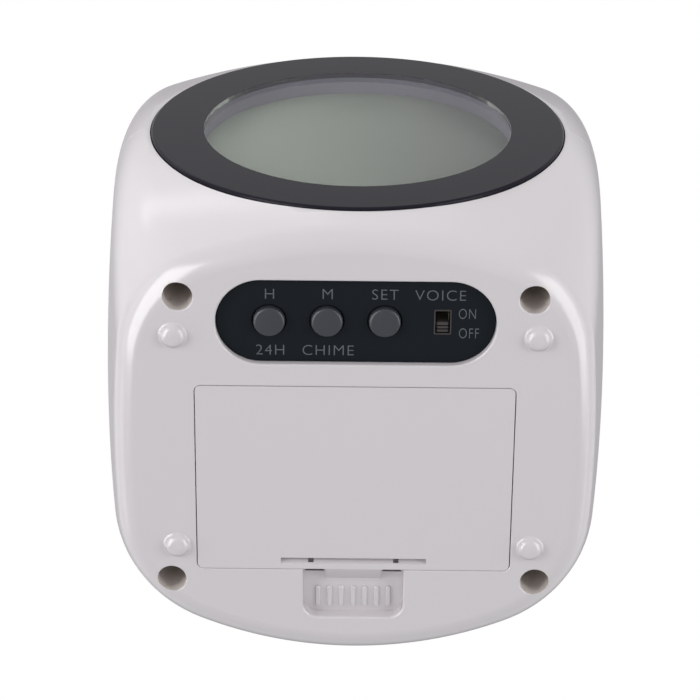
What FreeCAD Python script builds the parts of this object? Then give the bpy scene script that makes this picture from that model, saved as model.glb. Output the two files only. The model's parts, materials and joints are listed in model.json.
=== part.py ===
import FreeCAD, Part
import math
import os
import re

import Sketcher

# A talking table clock that stands on its base. +Z is up, the display looks along -Y, and the
# origin lies under the middle of the case, on the plane that its four feet stand on.
# All sizes are in millimetres.

SIZES = [
    # case: a rounded cube whose four walls belly out between base and top
    ("foot_height", 1.1),
    ("case_height", 84.0),
    ("half_width", 43.5),
    ("land_front", -44.9),
    ("land_radius", 36.3),
    ("back_reach", 45.4),
    ("front_radius", 109.0),
    ("front_spread", 37.6),
    ("corner_turn", 65.7),
    ("side_turn", 8.8),
    ("back_turn", 63.0),
    ("front_corner", 7.9),
    ("back_corner", 23.0),
    ("side_belly", 3.45),
    ("back_belly", 11.4),
    ("edge_round", 4.0),
    ("wall", 2.0),
    ("gap", 0.2),
    # feet and the deep holes of the case screws
    ("foot_radius", 2.2),
    ("foot_side", 29.75),
    ("foot_front", -25.3),
    ("foot_back", 14.0),
    ("front_tower_side", 28.9),
    ("front_tower_back", -32.2),
    ("rear_tower_side", 30.8),
    ("rear_tower_back", 20.7),
    ("tower_radius", 3.7),
    ("tower_bore", 2.45),
    ("tower_web", 3.0),
    ("tower_drop", 7.1),
    ("boss_radius", 3.1),
    ("screw_shank", 1.3),
    ("screw_head", 2.2),
    ("screw_head_height", 1.6),
    ("screw_length", 10.0),
    # display seen through the round window
    ("ring_radius", 35.7),
    ("ring_thickness", 1.5),
    ("ring_proud", 0.5),
    ("ring_lip", 0.5),
    ("window_radius", 26.6),
    ("shroud_wall", 1.3),
    ("display_depth", 4.5),
    ("glass_half", 28.0),
    ("glass_height", 54.0),
    ("glass_thickness", 2.2),
    ("guide_half", 26.4),
    ("guide_thickness", 1.8),
    ("strip_foot", 2.4),
    ("frame_wall", 1.2),
    ("frame_ledge", 0.8),
    ("frame_foot", 5.0),
    ("rail_half", 20.0),
    ("board_thickness", 1.6),
    ("board_standoff", 1.5),
    ("display_board_half", 23.5),
    ("chip_radius", 5.5),
    ("chip_height", 1.6),
    ("speech_length", 10.0),
    ("speech_width", 7.0),
    ("crystal_thickness", 2.2),
    ("capacitor_radius", 2.5),
    ("capacitor_height", 7.0),
    # control strip under the base
    ("strip_back", -27.7),
    ("strip_length", 45.7),
    ("strip_width", 15.0),
    ("strip_depth", 1.0),
    ("strip_flange", 1.6),
    ("panel_thickness", 1.2),
    ("button_pitch", 9.4),
    ("button_radius", 2.6),
    ("button_proud", 0.9),
    ("button_bevel", 0.5),
    ("button_travel", 0.8),
    ("button_flange", 0.7),
    ("key_side", 6.0),
    ("key_height", 2.6),
    ("plunger_half", 1.4),
    ("plunger_length", 2.6),
    ("slot_length", 4.0),
    ("slot_width", 2.4),
    ("knob_length", 1.8),
    ("slider_length", 8.0),
    ("slider_width", 4.4),
    ("control_board_reach", 7.3),
    ("hook_thickness", 1.2),
    ("hook_width", 5.0),
    # battery bay and its door, three small cells side by side
    ("door_back", 1.2),
    ("door_thickness", 1.8),
    ("door_ledge", 1.4),
    ("contact_room", 2.85),
    ("cell_radius", 5.2),
    ("cell_length", 44.5),
    ("nub_radius", 1.9),
    ("nub_length", 0.8),
    ("bay_wall", 1.2),
    ("tab_side", 15.0),
    ("tab_width", 6.0),
    ("tab_reach", 2.0),
    ("tab_thickness", 1.0),
    ("slit_length", 24.6),
    ("slit_width", 1.1),
    ("latch_beam", 1.0),
    ("tongue_width", 9.4),
    ("tongue_reach", 2.6),
    ("recess_width", 17.0),
    ("recess_length", 9.4),
    ("recess_depth", 2.2),
    ("recess_corner", 2.6),
    ("contact_width", 6.0),
    ("contact_thickness", 0.4),
    # loudspeaker behind the slots of the back wall
    ("speaker_lift", 16.9),
    ("speaker_radius", 14.0),
    ("speaker_face", 32.0),
    ("rim_thickness", 1.2),
    ("basket_depth", 4.5),
    ("film", 0.6),
    ("magnet_radius", 9.0),
    ("magnet_depth", 4.0),
    ("rib_width", 7.0),
    ("rib_thickness", 2.0),
    ("grille_radius", 12.0),
    ("grille_pitch", 4.6),
    ("grille_slot", 1.8),
    # large talk button in the top
    ("talk_radius", 22.0),
    ("talk_proud", 1.8),
    ("talk_crown", 1.0),
    ("talk_travel", 1.5),
    ("talk_flange", 1.4),
    ("talk_wall", 1.5),
    ("talk_tab", 8.0),
    ("talk_board_drop", 10.0),
    ("talk_board_half", 28.0),
    ("talk_board_width", 12.0),
    # flat cables between the boards
    ("ribbon_thickness", 0.5),
    ("board_ribbon_width", 12.0),
    ("talk_ribbon_width", 8.0),
    ("ribbon_seat", 6.0),
    ("ribbon_swing", 4.0),
]

# Texts that several pieces share, written with the names above.
TOP = "(foot_height + case_height)"
MIDDLE = "(foot_height + case_height / 2)"
FLOOR = "(foot_height + wall)"
ROOF = "(foot_height + case_height - wall)"
RING_FRONT = "(ring_proud - land_front)"
RING_BACK = "(ring_proud - land_front - ring_thickness)"
FRONT_WALL = "(-land_front - 1.5 * wall)"
SHROUD_RADIUS = "(window_radius + shroud_wall)"
GLASS_FRONT = "(ring_proud - land_front - display_depth)"
GUIDE_FRONT = f"({GLASS_FRONT} - glass_thickness)"
FRAME_BACK = f"({GUIDE_FRONT} - guide_thickness - frame_ledge)"
DISPLAY_BOARD = f"({FRAME_BACK} - board_standoff)"
BOARD_BACK = f"(board_thickness - {DISPLAY_BOARD})"
TOWER_TOP = f"({MIDDLE} - tower_drop)"
PANEL_FACE = "(foot_height + strip_depth)"
PANEL_BACK = f"({FLOOR} + panel_thickness)"
BUTTON_BACK = f"({PANEL_BACK} + gap / 2 + button_flange)"
CONTROL_HALF = "(strip_length / 2 - gap)"
CONTROL_BOARD = f"({BUTTON_BACK} + plunger_length + button_travel + 3 * gap)"
CELL_PITCH = "(2 * cell_radius + gap)"
BAY_X = "(cell_length / 2 + contact_room)"
BAY_Y = f"({CELL_PITCH} + cell_radius + gap)"
DOOR_X = f"({BAY_X} + door_ledge)"
DOOR_Y = f"({BAY_Y} + door_ledge)"
DOOR_FRONT = f"(door_back - {DOOR_Y})"
DOOR_REAR = f"(door_back + {DOOR_Y})"
DOOR_TOP = "(foot_height + door_thickness)"
CELL_RISE = f"({FLOOR} + gap + cell_radius)"
BAY_ROOF = f"({FLOOR} + 2 * gap + 2 * cell_radius)"
SPEAKER_RISE = f"({MIDDLE} + speaker_lift)"
TALK_FLANGE_TOP = f"({ROOF} - gap)"
TALK_BOARD = f"({ROOF} - talk_board_drop)"
LARGE = "(2 * case_height)"

# Turnings of the rounded edge, in degrees, and steps of the bellied wall above it.
EDGE_TURNS = (0, 45, 90)
BELLY_STEPS = (0.45, 1)
# Chords along half of the front, a front corner, a side, a back corner and half of the back.
OUTER_CHORDS = (4, 4, 3, 6, 3)
INNER_CHORDS = (2, 2, 2, 3, 2)
GRILLE_SLOTS = (-2, -1, 0, 1, 2)

UPRIGHT = FreeCAD.Rotation()
FORWARD = FreeCAD.Rotation(FreeCAD.Vector(1, 0, 0), 90)
BACKWARD = FreeCAD.Rotation(FreeCAD.Vector(1, 0, 0), -90)
SIDEWAYS = FreeCAD.Rotation(FreeCAD.Vector(0, 1, 0), 90)

doc = FreeCAD.newDocument("talking_clock")
sheet = doc.addObject("Spreadsheet::Sheet", "Sizes")
for row, (name, size) in enumerate(SIZES, start=1):
    sheet.set(f"A{row}", name)
    sheet.set(f"B{row}", str(size))
    sheet.setAlias(f"B{row}", name)
doc.recompute()
NAMES = {name for name, size in SIZES}
pieces = []


# ---------------------------------------------------------------- sizes bound to the sheet

def sized(text):
    """Puts the sheet's name in front of each size that the text mentions."""
    return re.sub("[a-z_]+", lambda word: "Sizes." * (word.group() in NAMES) + word.group(), text)


def number(text):
    return float(sheet.evalExpression(sized(text)))


def place(thing, at=("0", "0", "0"), turn=UPRIGHT):
    thing.Placement = FreeCAD.Placement(FreeCAD.Vector(), turn)
    for axis, text in zip("xyz", at):
        thing.setExpression("Placement.Base." + axis, sized(text))


# Bearings, in degrees from the right, at which the arcs of the case outline meet.
BEARINGS = [-90]
for turn in ("front_spread / 2", "corner_turn", "side_turn", "back_turn"):
    BEARINGS.append(BEARINGS[-1] + number(turn))
BEARINGS.append(90)


# ---------------------------------------------------------------- sketches

def body_sketch(body, role):
    plane = next(origin for origin in body.Origin.OriginFeatures if origin.Role == role)
    sketch = body.newObject("Sketcher::SketchObject", body.Name + "_sketch")
    sketch.AttachmentSupport = [(plane, "")]
    sketch.MapMode = "FlatFace"
    return sketch


def fix(sketch, kind, where, text):
    """Adds a sketch dimension whose value follows the sheet."""
    index = sketch.addConstraint(Sketcher.Constraint(kind, *where, number(text)))
    sketch.setExpression(f"Constraints[{index}]", sized(text))


def fix_point(sketch, geometry, point, x, y):
    for kind, text, axis in (("DistanceX", x, -2), ("DistanceY", y, -1)):
        if text == "0":
            sketch.addConstraint(Sketcher.Constraint("PointOnObject", geometry, point, axis))
        else:
            fix(sketch, kind, (-1, 1, geometry, point), text)


def draw_outline(sketch, corners):
    """A closed outline of straight edges through corners given as pairs of texts."""
    points = [FreeCAD.Vector(number(x), number(y), 0) for x, y in corners]
    first = sketch.GeometryCount
    count = len(points)
    for i, point in enumerate(points):
        sketch.addGeometry(Part.LineSegment(point, points[(i + 1) % count]), False)
    for i in range(count):
        joint = Sketcher.Constraint("Coincident", first + i, 2, first + (i + 1) % count, 1)
        sketch.addConstraint(joint)
    for i, (x, y) in enumerate(corners):
        fix_point(sketch, first + i, 1, x, y)


def arc(centre, radius, start, end):
    circle = Part.Circle(centre, FreeCAD.Vector(0, 0, 1), radius)
    return Part.ArcOfCircle(circle, start, end)


def draw_stadium(sketch, length, width):
    """A slot outline: two straight edges and a half circle at each end."""
    reach = f"(({length} - {width}) / 2)"
    radius = f"({width} / 2)"
    end = FreeCAD.Vector(number(reach), 0, 0)
    side = FreeCAD.Vector(0, number(radius), 0)
    sketch.addGeometry(Part.LineSegment(-end - side, end - side), False)
    sketch.addGeometry(arc(end, side.y, -math.pi / 2, math.pi / 2), False)
    sketch.addGeometry(Part.LineSegment(end + side, -end + side), False)
    sketch.addGeometry(arc(-end, side.y, math.pi / 2, 3 * math.pi / 2), False)
    for i in range(4):
        sketch.addConstraint(Sketcher.Constraint("Tangent", i, 2, (i + 1) % 4, 1))
    fix_point(sketch, 1, 3, reach, "0")
    fix_point(sketch, 3, 3, "-" + reach, "0")
    fix(sketch, "Radius", (1,), radius)
    sketch.addConstraint(Sketcher.Constraint("Equal", 1, 3))


def outline_points(lengths, chords):
    """Points along the right half of the case outline, from the middle of the front.

    The half outline is five tangent arcs: half the front, a tight corner, the side, a wide corner
    and half the back. The lengths are the half width, the front, the back and both corner radii.
    The large radii follow from the width and the depth that the arcs have to fill.
    """
    half, front, back, small, wide = lengths
    a, b, c, d = [math.radians(bearing) for bearing in BEARINGS[1:-1]]
    width_front = half + small * (math.cos(a) - math.cos(b))
    width_back = half + wide * (math.cos(d) - math.cos(c))
    slope_front = (1 + math.sin(a)) / math.cos(a)
    slope_back = (1 - math.sin(d)) / math.cos(d)
    depth = back - front + small * (math.sin(a) - math.sin(b)) - wide * (math.sin(d) - math.sin(c))
    depth -= slope_front * width_front + slope_back * width_back
    share = math.sin(c) - math.sin(b) - slope_front * (1 - math.cos(b)) - slope_back * (1 - math.cos(c))
    side = depth / share
    low = (width_front - side * (1 - math.cos(b))) / math.cos(a)
    high = (width_back - side * (1 - math.cos(c))) / math.cos(d)

    centre = FreeCAD.Vector(0, front + low, 0)
    last = low
    points = []
    for i, (radius, steps) in enumerate(zip((low, small, side, wide, high), chords)):
        start, end = math.radians(BEARINGS[i]), math.radians(BEARINGS[i + 1])
        centre += FreeCAD.Vector(math.cos(start), math.sin(start), 0) * (last - radius)
        for step in range(steps):
            turn = start + (end - start) * step / steps
            points.append(centre + FreeCAD.Vector(math.cos(turn), math.sin(turn), 0) * radius)
        last = radius
    points.append(FreeCAD.Vector(0, back, 0))
    return points


def case_outline(name, level, inset, chords):
    """Level outline of the case, drawn in short chords of its arcs.

    The side and back walls belly out as a parabola of the height. The front is part of a dome
    that would stand just so far before the display land that the land cuts it in a circle.
    Every level has the same bearings where its arcs meet, so its chords run parallel to the
    chords above and below them, and the walls between them are flat. A point of the outline is
    linear in the outline's lengths, so it is a sum of those lengths times fixed weights.
    """
    rise = f"({level} - {MIDDLE})"
    swell = f"pow({rise} / (case_height / 2); 2)"
    dome = "(land_radius * land_radius / (2 * front_radius))"
    lengths = [f"(half_width - side_belly * {swell} - {inset})",
               f"(land_front - {dome} * (1 - pow({rise} / land_radius; 2)) + {inset})",
               f"(back_reach - back_belly * {swell} - {inset})",
               f"(front_corner - {inset})", f"(back_corner - {inset})"]
    weights = [outline_points([float(i == k) for i in range(5)], chords) for k in range(5)]

    def weighted(i, axis):
        terms = [f"{points[i][axis]:.6f} * {text}" for points, text in zip(weights, lengths)
                 if abs(points[i][axis]) > 1e-6]
        return " + ".join(terms)

    last = sum(chords)
    right = [(f"({weighted(i, 0)})", f"({weighted(i, 1)})") for i in range(1, last)]
    left = [("-" + x, y) for x, y in reversed(right)]
    sketch = doc.addObject("Sketcher::SketchObject", name)
    draw_outline(sketch, [("0", weighted(0, 1))] + right + [("0", weighted(last, 1))] + left)
    place(sketch, ("0", "0", level))
    return sketch


# ---------------------------------------------------------------- simple solids

def turned(name, profile, at=("0", "0", "0"), turn=UPRIGHT):
    """A turned piece: its profile gives pairs of radius and height."""
    body = doc.addObject("PartDesign::Body", name)
    sketch = body_sketch(body, "XZ_Plane")
    draw_outline(sketch, profile)
    turning = body.newObject("PartDesign::Revolution", name + "_turning")
    turning.Profile = sketch
    turning.ReferenceAxis = (sketch, ["V_Axis"])
    turning.Angle = 360
    place(body, at, turn)
    return body


def plate(name, thickness, corners=None, stadium=None, at=("0", "0", "0")):
    """A flat piece of one thickness."""
    body = doc.addObject("PartDesign::Body", name)
    sketch = body_sketch(body, "XY_Plane")
    if stadium:
        draw_stadium(sketch, *stadium)
    else:
        draw_outline(sketch, corners)
    pad = body.newObject("PartDesign::Pad", name + "_pad")
    pad.Profile = sketch
    pad.setExpression("Length", sized(thickness))
    place(body, at)
    return body


def strip(name, width, corners, x):
    """A bent strip: its side view as pairs of y and z, and its width along X about x."""
    body = doc.addObject("PartDesign::Body", name)
    sketch = body_sketch(body, "YZ_Plane")
    draw_outline(sketch, corners)
    pad = body.newObject("PartDesign::Pad", name + "_pad")
    pad.Profile = sketch
    pad.setExpression("Length", sized(width))
    pad.Midplane = True
    place(body, (x, "0", "0"))
    return body


def rectangle(half_x, half_y):
    return [(f"-({half_x})", f"-({half_y})"), (half_x, f"-({half_y})"),
            (half_x, half_y), (f"-({half_x})", half_y)]


def block(name, low, high):
    """A block between two corners, each given as three texts."""
    box = doc.addObject("Part::Box", name)
    for side, start, end in zip(("Length", "Width", "Height"), low, high):
        box.setExpression(side, sized(f"({end}) - ({start})"))
    place(box, low)
    return box


def rod(name, radius, length, at, turn=UPRIGHT, sides=0):
    """A round rod, or one with that many flat sides where roundness isn't seen."""
    bar = doc.addObject("Part::Prism" if sides else "Part::Cylinder", name)
    if sides:
        bar.Polygon = sides
    bar.setExpression("Circumradius" if sides else "Radius", sized(radius))
    bar.setExpression("Height", sized(length))
    place(bar, at, turn)
    return bar


def fused(name, things):
    union = doc.addObject("Part::MultiFuse", name)
    union.Shapes = things
    return union


def common(name, one, other):
    shared = doc.addObject("Part::Common", name)
    shared.Base = one
    shared.Tool = other
    return shared


def cut(name, base, tools):
    cutting = doc.addObject("Part::Cut", name)
    cutting.Base = base
    cutting.Tool = tools[0] if len(tools) == 1 else fused(name + "_tools", tools)
    return cutting


def mirrored(name, thing, normal=(1, 0, 0), height="0"):
    mirror = doc.addObject("Part::Mirroring", name)
    mirror.Source = thing
    mirror.Normal = FreeCAD.Vector(*normal)
    mirror.setExpression("Base.z", sized(height))
    return mirror


def grouped(name, things):
    group = doc.addObject("Part::Compound", name)
    group.Links = things
    return group


def both_sides(name, thing):
    return [thing, mirrored(name + "_mirror", thing)]


def piece(thing, label):
    thing.Label = label
    pieces.append(thing)
    return thing


# ---------------------------------------------------------------- case

def loft(name, outlines):
    form = doc.addObject("Part::Loft", name)
    form.Sections = outlines
    form.Solid = True
    form.Ruled = True
    return form


def before(name, plane):
    """All that lies in front of an upright plane, to cut a flat land."""
    return block(name, (f"-{LARGE}", f"-{LARGE}", f"-{LARGE}"), (LARGE, plane, LARGE))


def outer_form():
    levels = []
    for turn in EDGE_TURNS:
        rise = 1 - math.cos(math.radians(turn))
        inset = 1 - math.sin(math.radians(turn))
        levels.append((f"(foot_height + edge_round * {rise:.6f})", f"(edge_round * {inset:.6f})"))
    for step in BELLY_STEPS:
        rise = f"(case_height / 2 - edge_round) * {step:.6f}"
        levels.append((f"(foot_height + edge_round + {rise})", "0"))
    outlines = [case_outline(f"outer_level_{i}", *level, OUTER_CHORDS) for i, level in enumerate(levels)]
    land = before("land_plane", "land_front")
    return cut("outer_form", loft("outer_loft", outlines), [land])


def inner_form():
    levels = [f"({FLOOR} + (case_height / 2 - wall) * {step})" for step in (0, 0.45, 1)]
    outlines = [case_outline(f"inner_level_{i}", level, "wall", INNER_CHORDS)
                for i, level in enumerate(levels)]
    plane = before("inner_plane", f"-{FRONT_WALL}")
    return cut("inner_form", loft("inner_loft", outlines), [plane])


def clip_form():
    """Half way into the walls: posts and ribs that are cut to it join the wall and stay inside."""
    levels = [f"(foot_height + wall / 2 + (case_height - wall) * {step})"
              for step in (0, 0.25, 0.5, 0.75, 1)]
    outlines = [case_outline(f"clip_level_{i}", level, "wall / 2", INNER_CHORDS)
                for i, level in enumerate(levels)]
    plane = before("clip_plane", f"-{FRONT_WALL} - wall / 2")
    return cut("clip_form", loft("clip_loft", outlines), [plane])


def window_tools(name):
    """The round opening that the display looks through and the shallow seat of its ring."""
    opening = rod(name + "_opening", f"({SHROUD_RADIUS} + gap)", LARGE,
                  ("0", f"-{FRONT_WALL} + wall", MIDDLE), FORWARD)
    seat = rod(name + "_seat", "(ring_radius + gap)", "(3 * wall)",
               ("0", f"-{RING_BACK}", MIDDLE), FORWARD)
    return [opening, seat]


def hook(name, side, middle, root, seat, face):
    """Snap hook for a board's end: a stop that the board lies on and a beam that grips its face."""
    root_side = f"{side} + gap"
    stop = block(name + "_stop", (f"{side} - 2 * hook_thickness", f"{middle} - hook_width / 2", seat),
                 (side, f"{middle} + hook_width / 2", root))
    beam = block(name + "_beam", (root_side, f"{middle} - hook_width / 2", f"{face} - hook_thickness"),
                 (f"{root_side} + hook_thickness", f"{middle} + hook_width / 2", root))
    nose = block(name + "_nose", (f"{side} - hook_thickness / 2", f"{middle} - hook_width / 2",
                                  f"{face} - hook_thickness"),
                 (f"{root_side} + gap", f"{middle} + hook_width / 2", face))
    return fused(name, [stop, beam, nose])


TOWERS = [("front_tower_side", "front_tower_back"), ("rear_tower_side", "rear_tower_back")]
FACES = {"tower": 10, "bore": 24, "shank": 6, "foot": 16, "round": 24}

def centred_block(name, half_x, half_y, low, high):
    return block(name, (f"-({half_x})", f"door_back - ({half_y})", low),
                 (half_x, f"door_back + ({half_y})", high))


def lower_case(outer, inner, clip):
    """Tray with the four feet, the battery bay, the control strip's opening and screw towers."""
    skin = cut("lower_skin", outer, [inner])
    inside = [
        centred_block("bay_block", f"{BAY_X} + bay_wall", f"{BAY_Y} + bay_wall",
                      f"{FLOOR} - wall / 2", f"{BAY_ROOF} + bay_wall"),
        centred_block("ledge_block", f"{DOOR_X} + bay_wall", f"{DOOR_Y} + bay_wall",
                      f"{FLOOR} - wall / 2", f"{FLOOR} + bay_wall"),
        block("recess_block", ("-recess_width / 2 - bay_wall", DOOR_REAR, f"{FLOOR} - wall / 2"),
              ("recess_width / 2 + bay_wall", f"{DOOR_REAR} + recess_length + bay_wall",
               "foot_height + recess_depth + bay_wall"))]
    for i, (x, y) in enumerate(TOWERS):
        tower = rod(f"tower_{i}", "tower_radius", f"{TOWER_TOP} - {FLOOR} + wall / 2",
                    (x, y, f"{FLOOR} - wall / 2"), sides=FACES["tower"])
        inside += both_sides(f"tower_{i}", tower)
    inside = common("lower_inside", fused("lower_ribs", inside), clip)

    feet = []
    for i, y in enumerate(("foot_front", "foot_back")):
        foot = rod(f"foot_{i}", "foot_radius", "foot_height + wall / 2", ("foot_side", y, "0"),
                   sides=FACES["foot"])
        feet += both_sides(f"foot_{i}", foot)

    tools = window_tools("lower")
    tools.append(plate("strip_opening", "(3 * wall)", stadium=("strip_length", "strip_width"),
                       at=("0", "strip_back", "0")))
    tools.append(centred_block("door_opening", DOOR_X, DOOR_Y, "0", FLOOR))
    tools.append(centred_block("bay_hollow", BAY_X, BAY_Y, "0", BAY_ROOF))
    half_recess = "(recess_width / 2)"
    recess_end = f"({DOOR_REAR} + recess_length)"
    tools.append(plate("recess", "foot_height + recess_depth", [
        (f"-{half_recess}", f"{DOOR_REAR} - gap"), (half_recess, f"{DOOR_REAR} - gap"),
        (half_recess, f"{recess_end} - recess_corner"),
        (f"{half_recess} - recess_corner", recess_end),
        (f"-({half_recess} - recess_corner)", recess_end),
        (f"-{half_recess}", f"{recess_end} - recess_corner")]))
    gap_slot = block("latch_gap", ("tongue_width / 2 + 2 * gap", DOOR_REAR, "0"),
                     (f"{half_recess} - gap", f"{DOOR_REAR} + 3 * gap", "foot_height + 4 * wall"))
    tools += both_sides("latch_gap", gap_slot)
    tab_slot = block("tab_slot", ("tab_side - tab_width / 2 - gap",
                                  f"{DOOR_FRONT} - 2 * bay_wall", FLOOR),
                     ("tab_side + tab_width / 2 + gap", f"{DOOR_FRONT} + 2 * bay_wall",
                      f"{FLOOR} + 2.5 * tab_thickness"))
    tools += both_sides("tab_slot", tab_slot)
    for i, (x, y) in enumerate(TOWERS):
        bore = rod(f"tower_bore_{i}", "tower_bore", f"{TOWER_TOP} - tower_web", (x, y, "0"),
                   sides=FACES["bore"])
        hole = rod(f"tower_hole_{i}", "screw_shank + gap", f"{TOWER_TOP} + wall", (x, y, "0"),
                   sides=FACES["shank"])
        tools += both_sides(f"tower_bore_{i}", bore)
        tools += both_sides(f"tower_hole_{i}", hole)
    shell = fused("lower_shell", [skin, inside] + feet)
    return piece(cut("lower_case", shell, tools), "lower_case")


def upper_case(outer, inner, clip):
    """Hood with the talk button's opening, the sound slots and the long screw bosses."""
    skin = cut("upper_skin", mirrored("upper_outer", outer, (0, 0, 1), MIDDLE),
               [mirrored("upper_inner", inner, (0, 0, 1), MIDDLE)])
    inside = []
    for i, (x, y) in enumerate(TOWERS):
        boss = rod(f"boss_{i}", "boss_radius", f"{TOP} - {TOWER_TOP}", (x, y, TOWER_TOP),
                   sides=FACES["tower"])
        inside += both_sides(f"boss_{i}", boss)
    inside += both_sides("talk_hook", hook("talk_hook", "talk_board_half", "0", TOP, TALK_BOARD,
                                           f"{TALK_BOARD} - board_thickness"))
    inside += speaker_ribs()
    inside = common("upper_inside", fused("upper_ribs", inside), clip)

    tools = window_tools("upper")
    tools.append(rod("talk_opening", "talk_radius + gap", "(4 * wall)",
                     ("0", "0", f"{ROOF} - wall")))
    for i, (x, y) in enumerate(TOWERS):
        pilot = rod(f"boss_pilot_{i}", "screw_shank + gap / 4", "screw_length",
                    (x, y, f"{TOWER_TOP} - wall"), sides=FACES["shank"])
        tools += both_sides(f"boss_pilot_{i}", pilot)
    for i in GRILLE_SLOTS:
        half = f"sqrt(pow(grille_radius; 2) - pow({i} * grille_pitch; 2))"
        rise = f"{SPEAKER_RISE} + {i} * grille_pitch"
        tools.append(block(f"grille_slot_{i + 2}",
                           (f"-{half}", "speaker_face", f"{rise} - grille_slot / 2"),
                           (half, "back_reach + wall", f"{rise} + grille_slot / 2")))
    shell = fused("upper_shell", [skin, inside])
    return piece(cut("upper_case", shell, tools), "upper_case")


def speaker_ribs():
    """Four stout ribs from the back wall: a step in each carries the speaker's rim."""
    ribs = []
    parts = (("fence", "(speaker_radius + gap)", "speaker_face - rim_thickness - gap"),
             ("step", "(speaker_radius - rib_thickness)", "speaker_face"))
    for part, start, face in parts:
        end = "(speaker_radius + rib_thickness)"
        side = block(f"rib_side_{part}", (start, face, f"{SPEAKER_RISE} - rib_width / 2"),
                     (end, "back_reach", f"{SPEAKER_RISE} + rib_width / 2"))
        ribs += both_sides(f"rib_side_{part}", side)
        ribs.append(block(f"rib_top_{part}", ("-rib_width / 2", face, f"{SPEAKER_RISE} + {start}"),
                          ("rib_width / 2", "back_reach", f"{SPEAKER_RISE} + {end}")))
        ribs.append(block(f"rib_foot_{part}", ("-rib_width / 2", face, f"{SPEAKER_RISE} - {end}"),
                          ("rib_width / 2", "back_reach", f"{SPEAKER_RISE} - {start}")))
    return ribs


def case_screws():
    """Four long self-cutting screws, driven up through the towers into the bosses."""
    seat = f"({TOWER_TOP} - tower_web)"
    screws = []
    for i, (x, y) in enumerate(TOWERS):
        head = rod(f"screw_head_{i}", "screw_head", "screw_head_height",
                   (x, y, f"{seat} - screw_head_height"), sides=FACES["foot"])
        shank = rod(f"screw_shank_{i}", "screw_shank", "screw_head_height + screw_length",
                    (x, y, f"{seat} - screw_head_height"), sides=FACES["shank"])
        screws += both_sides(f"case_screw_{i}", fused(f"case_screw_{i}", [head, shank]))
    return piece(grouped("case_screws", screws), "case_screws")


# ---------------------------------------------------------------- display

def display_front():
    """Dark ring with the clear window in it, and the grey tube down to the display glass."""
    middle = ("0", "0", MIDDLE)
    ring = turned("bezel_ring", [("window_radius", RING_FRONT), ("ring_radius", RING_FRONT),
                                 ("ring_radius", RING_BACK), ("window_radius", RING_BACK)],
                  middle, FORWARD)
    piece(ring, "bezel_ring")
    lens = rod("window_lens", "window_radius", f"{RING_FRONT} - ring_lip - {RING_BACK}",
               ("0", f"-{RING_BACK}", MIDDLE), FORWARD)
    piece(lens, "window_lens")
    outside = rod("tube_outside", SHROUD_RADIUS, f"{RING_BACK} - {GLASS_FRONT}",
                  ("0", f"-{GLASS_FRONT}", MIDDLE), FORWARD, FACES["round"])
    inside = rod("tube_inside", "window_radius", "2 * display_depth",
                 ("0", f"-{GLASS_FRONT} + gap", MIDDLE), FORWARD)
    piece(cut("display_shroud", outside, [inside]), "display_shroud")


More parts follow.
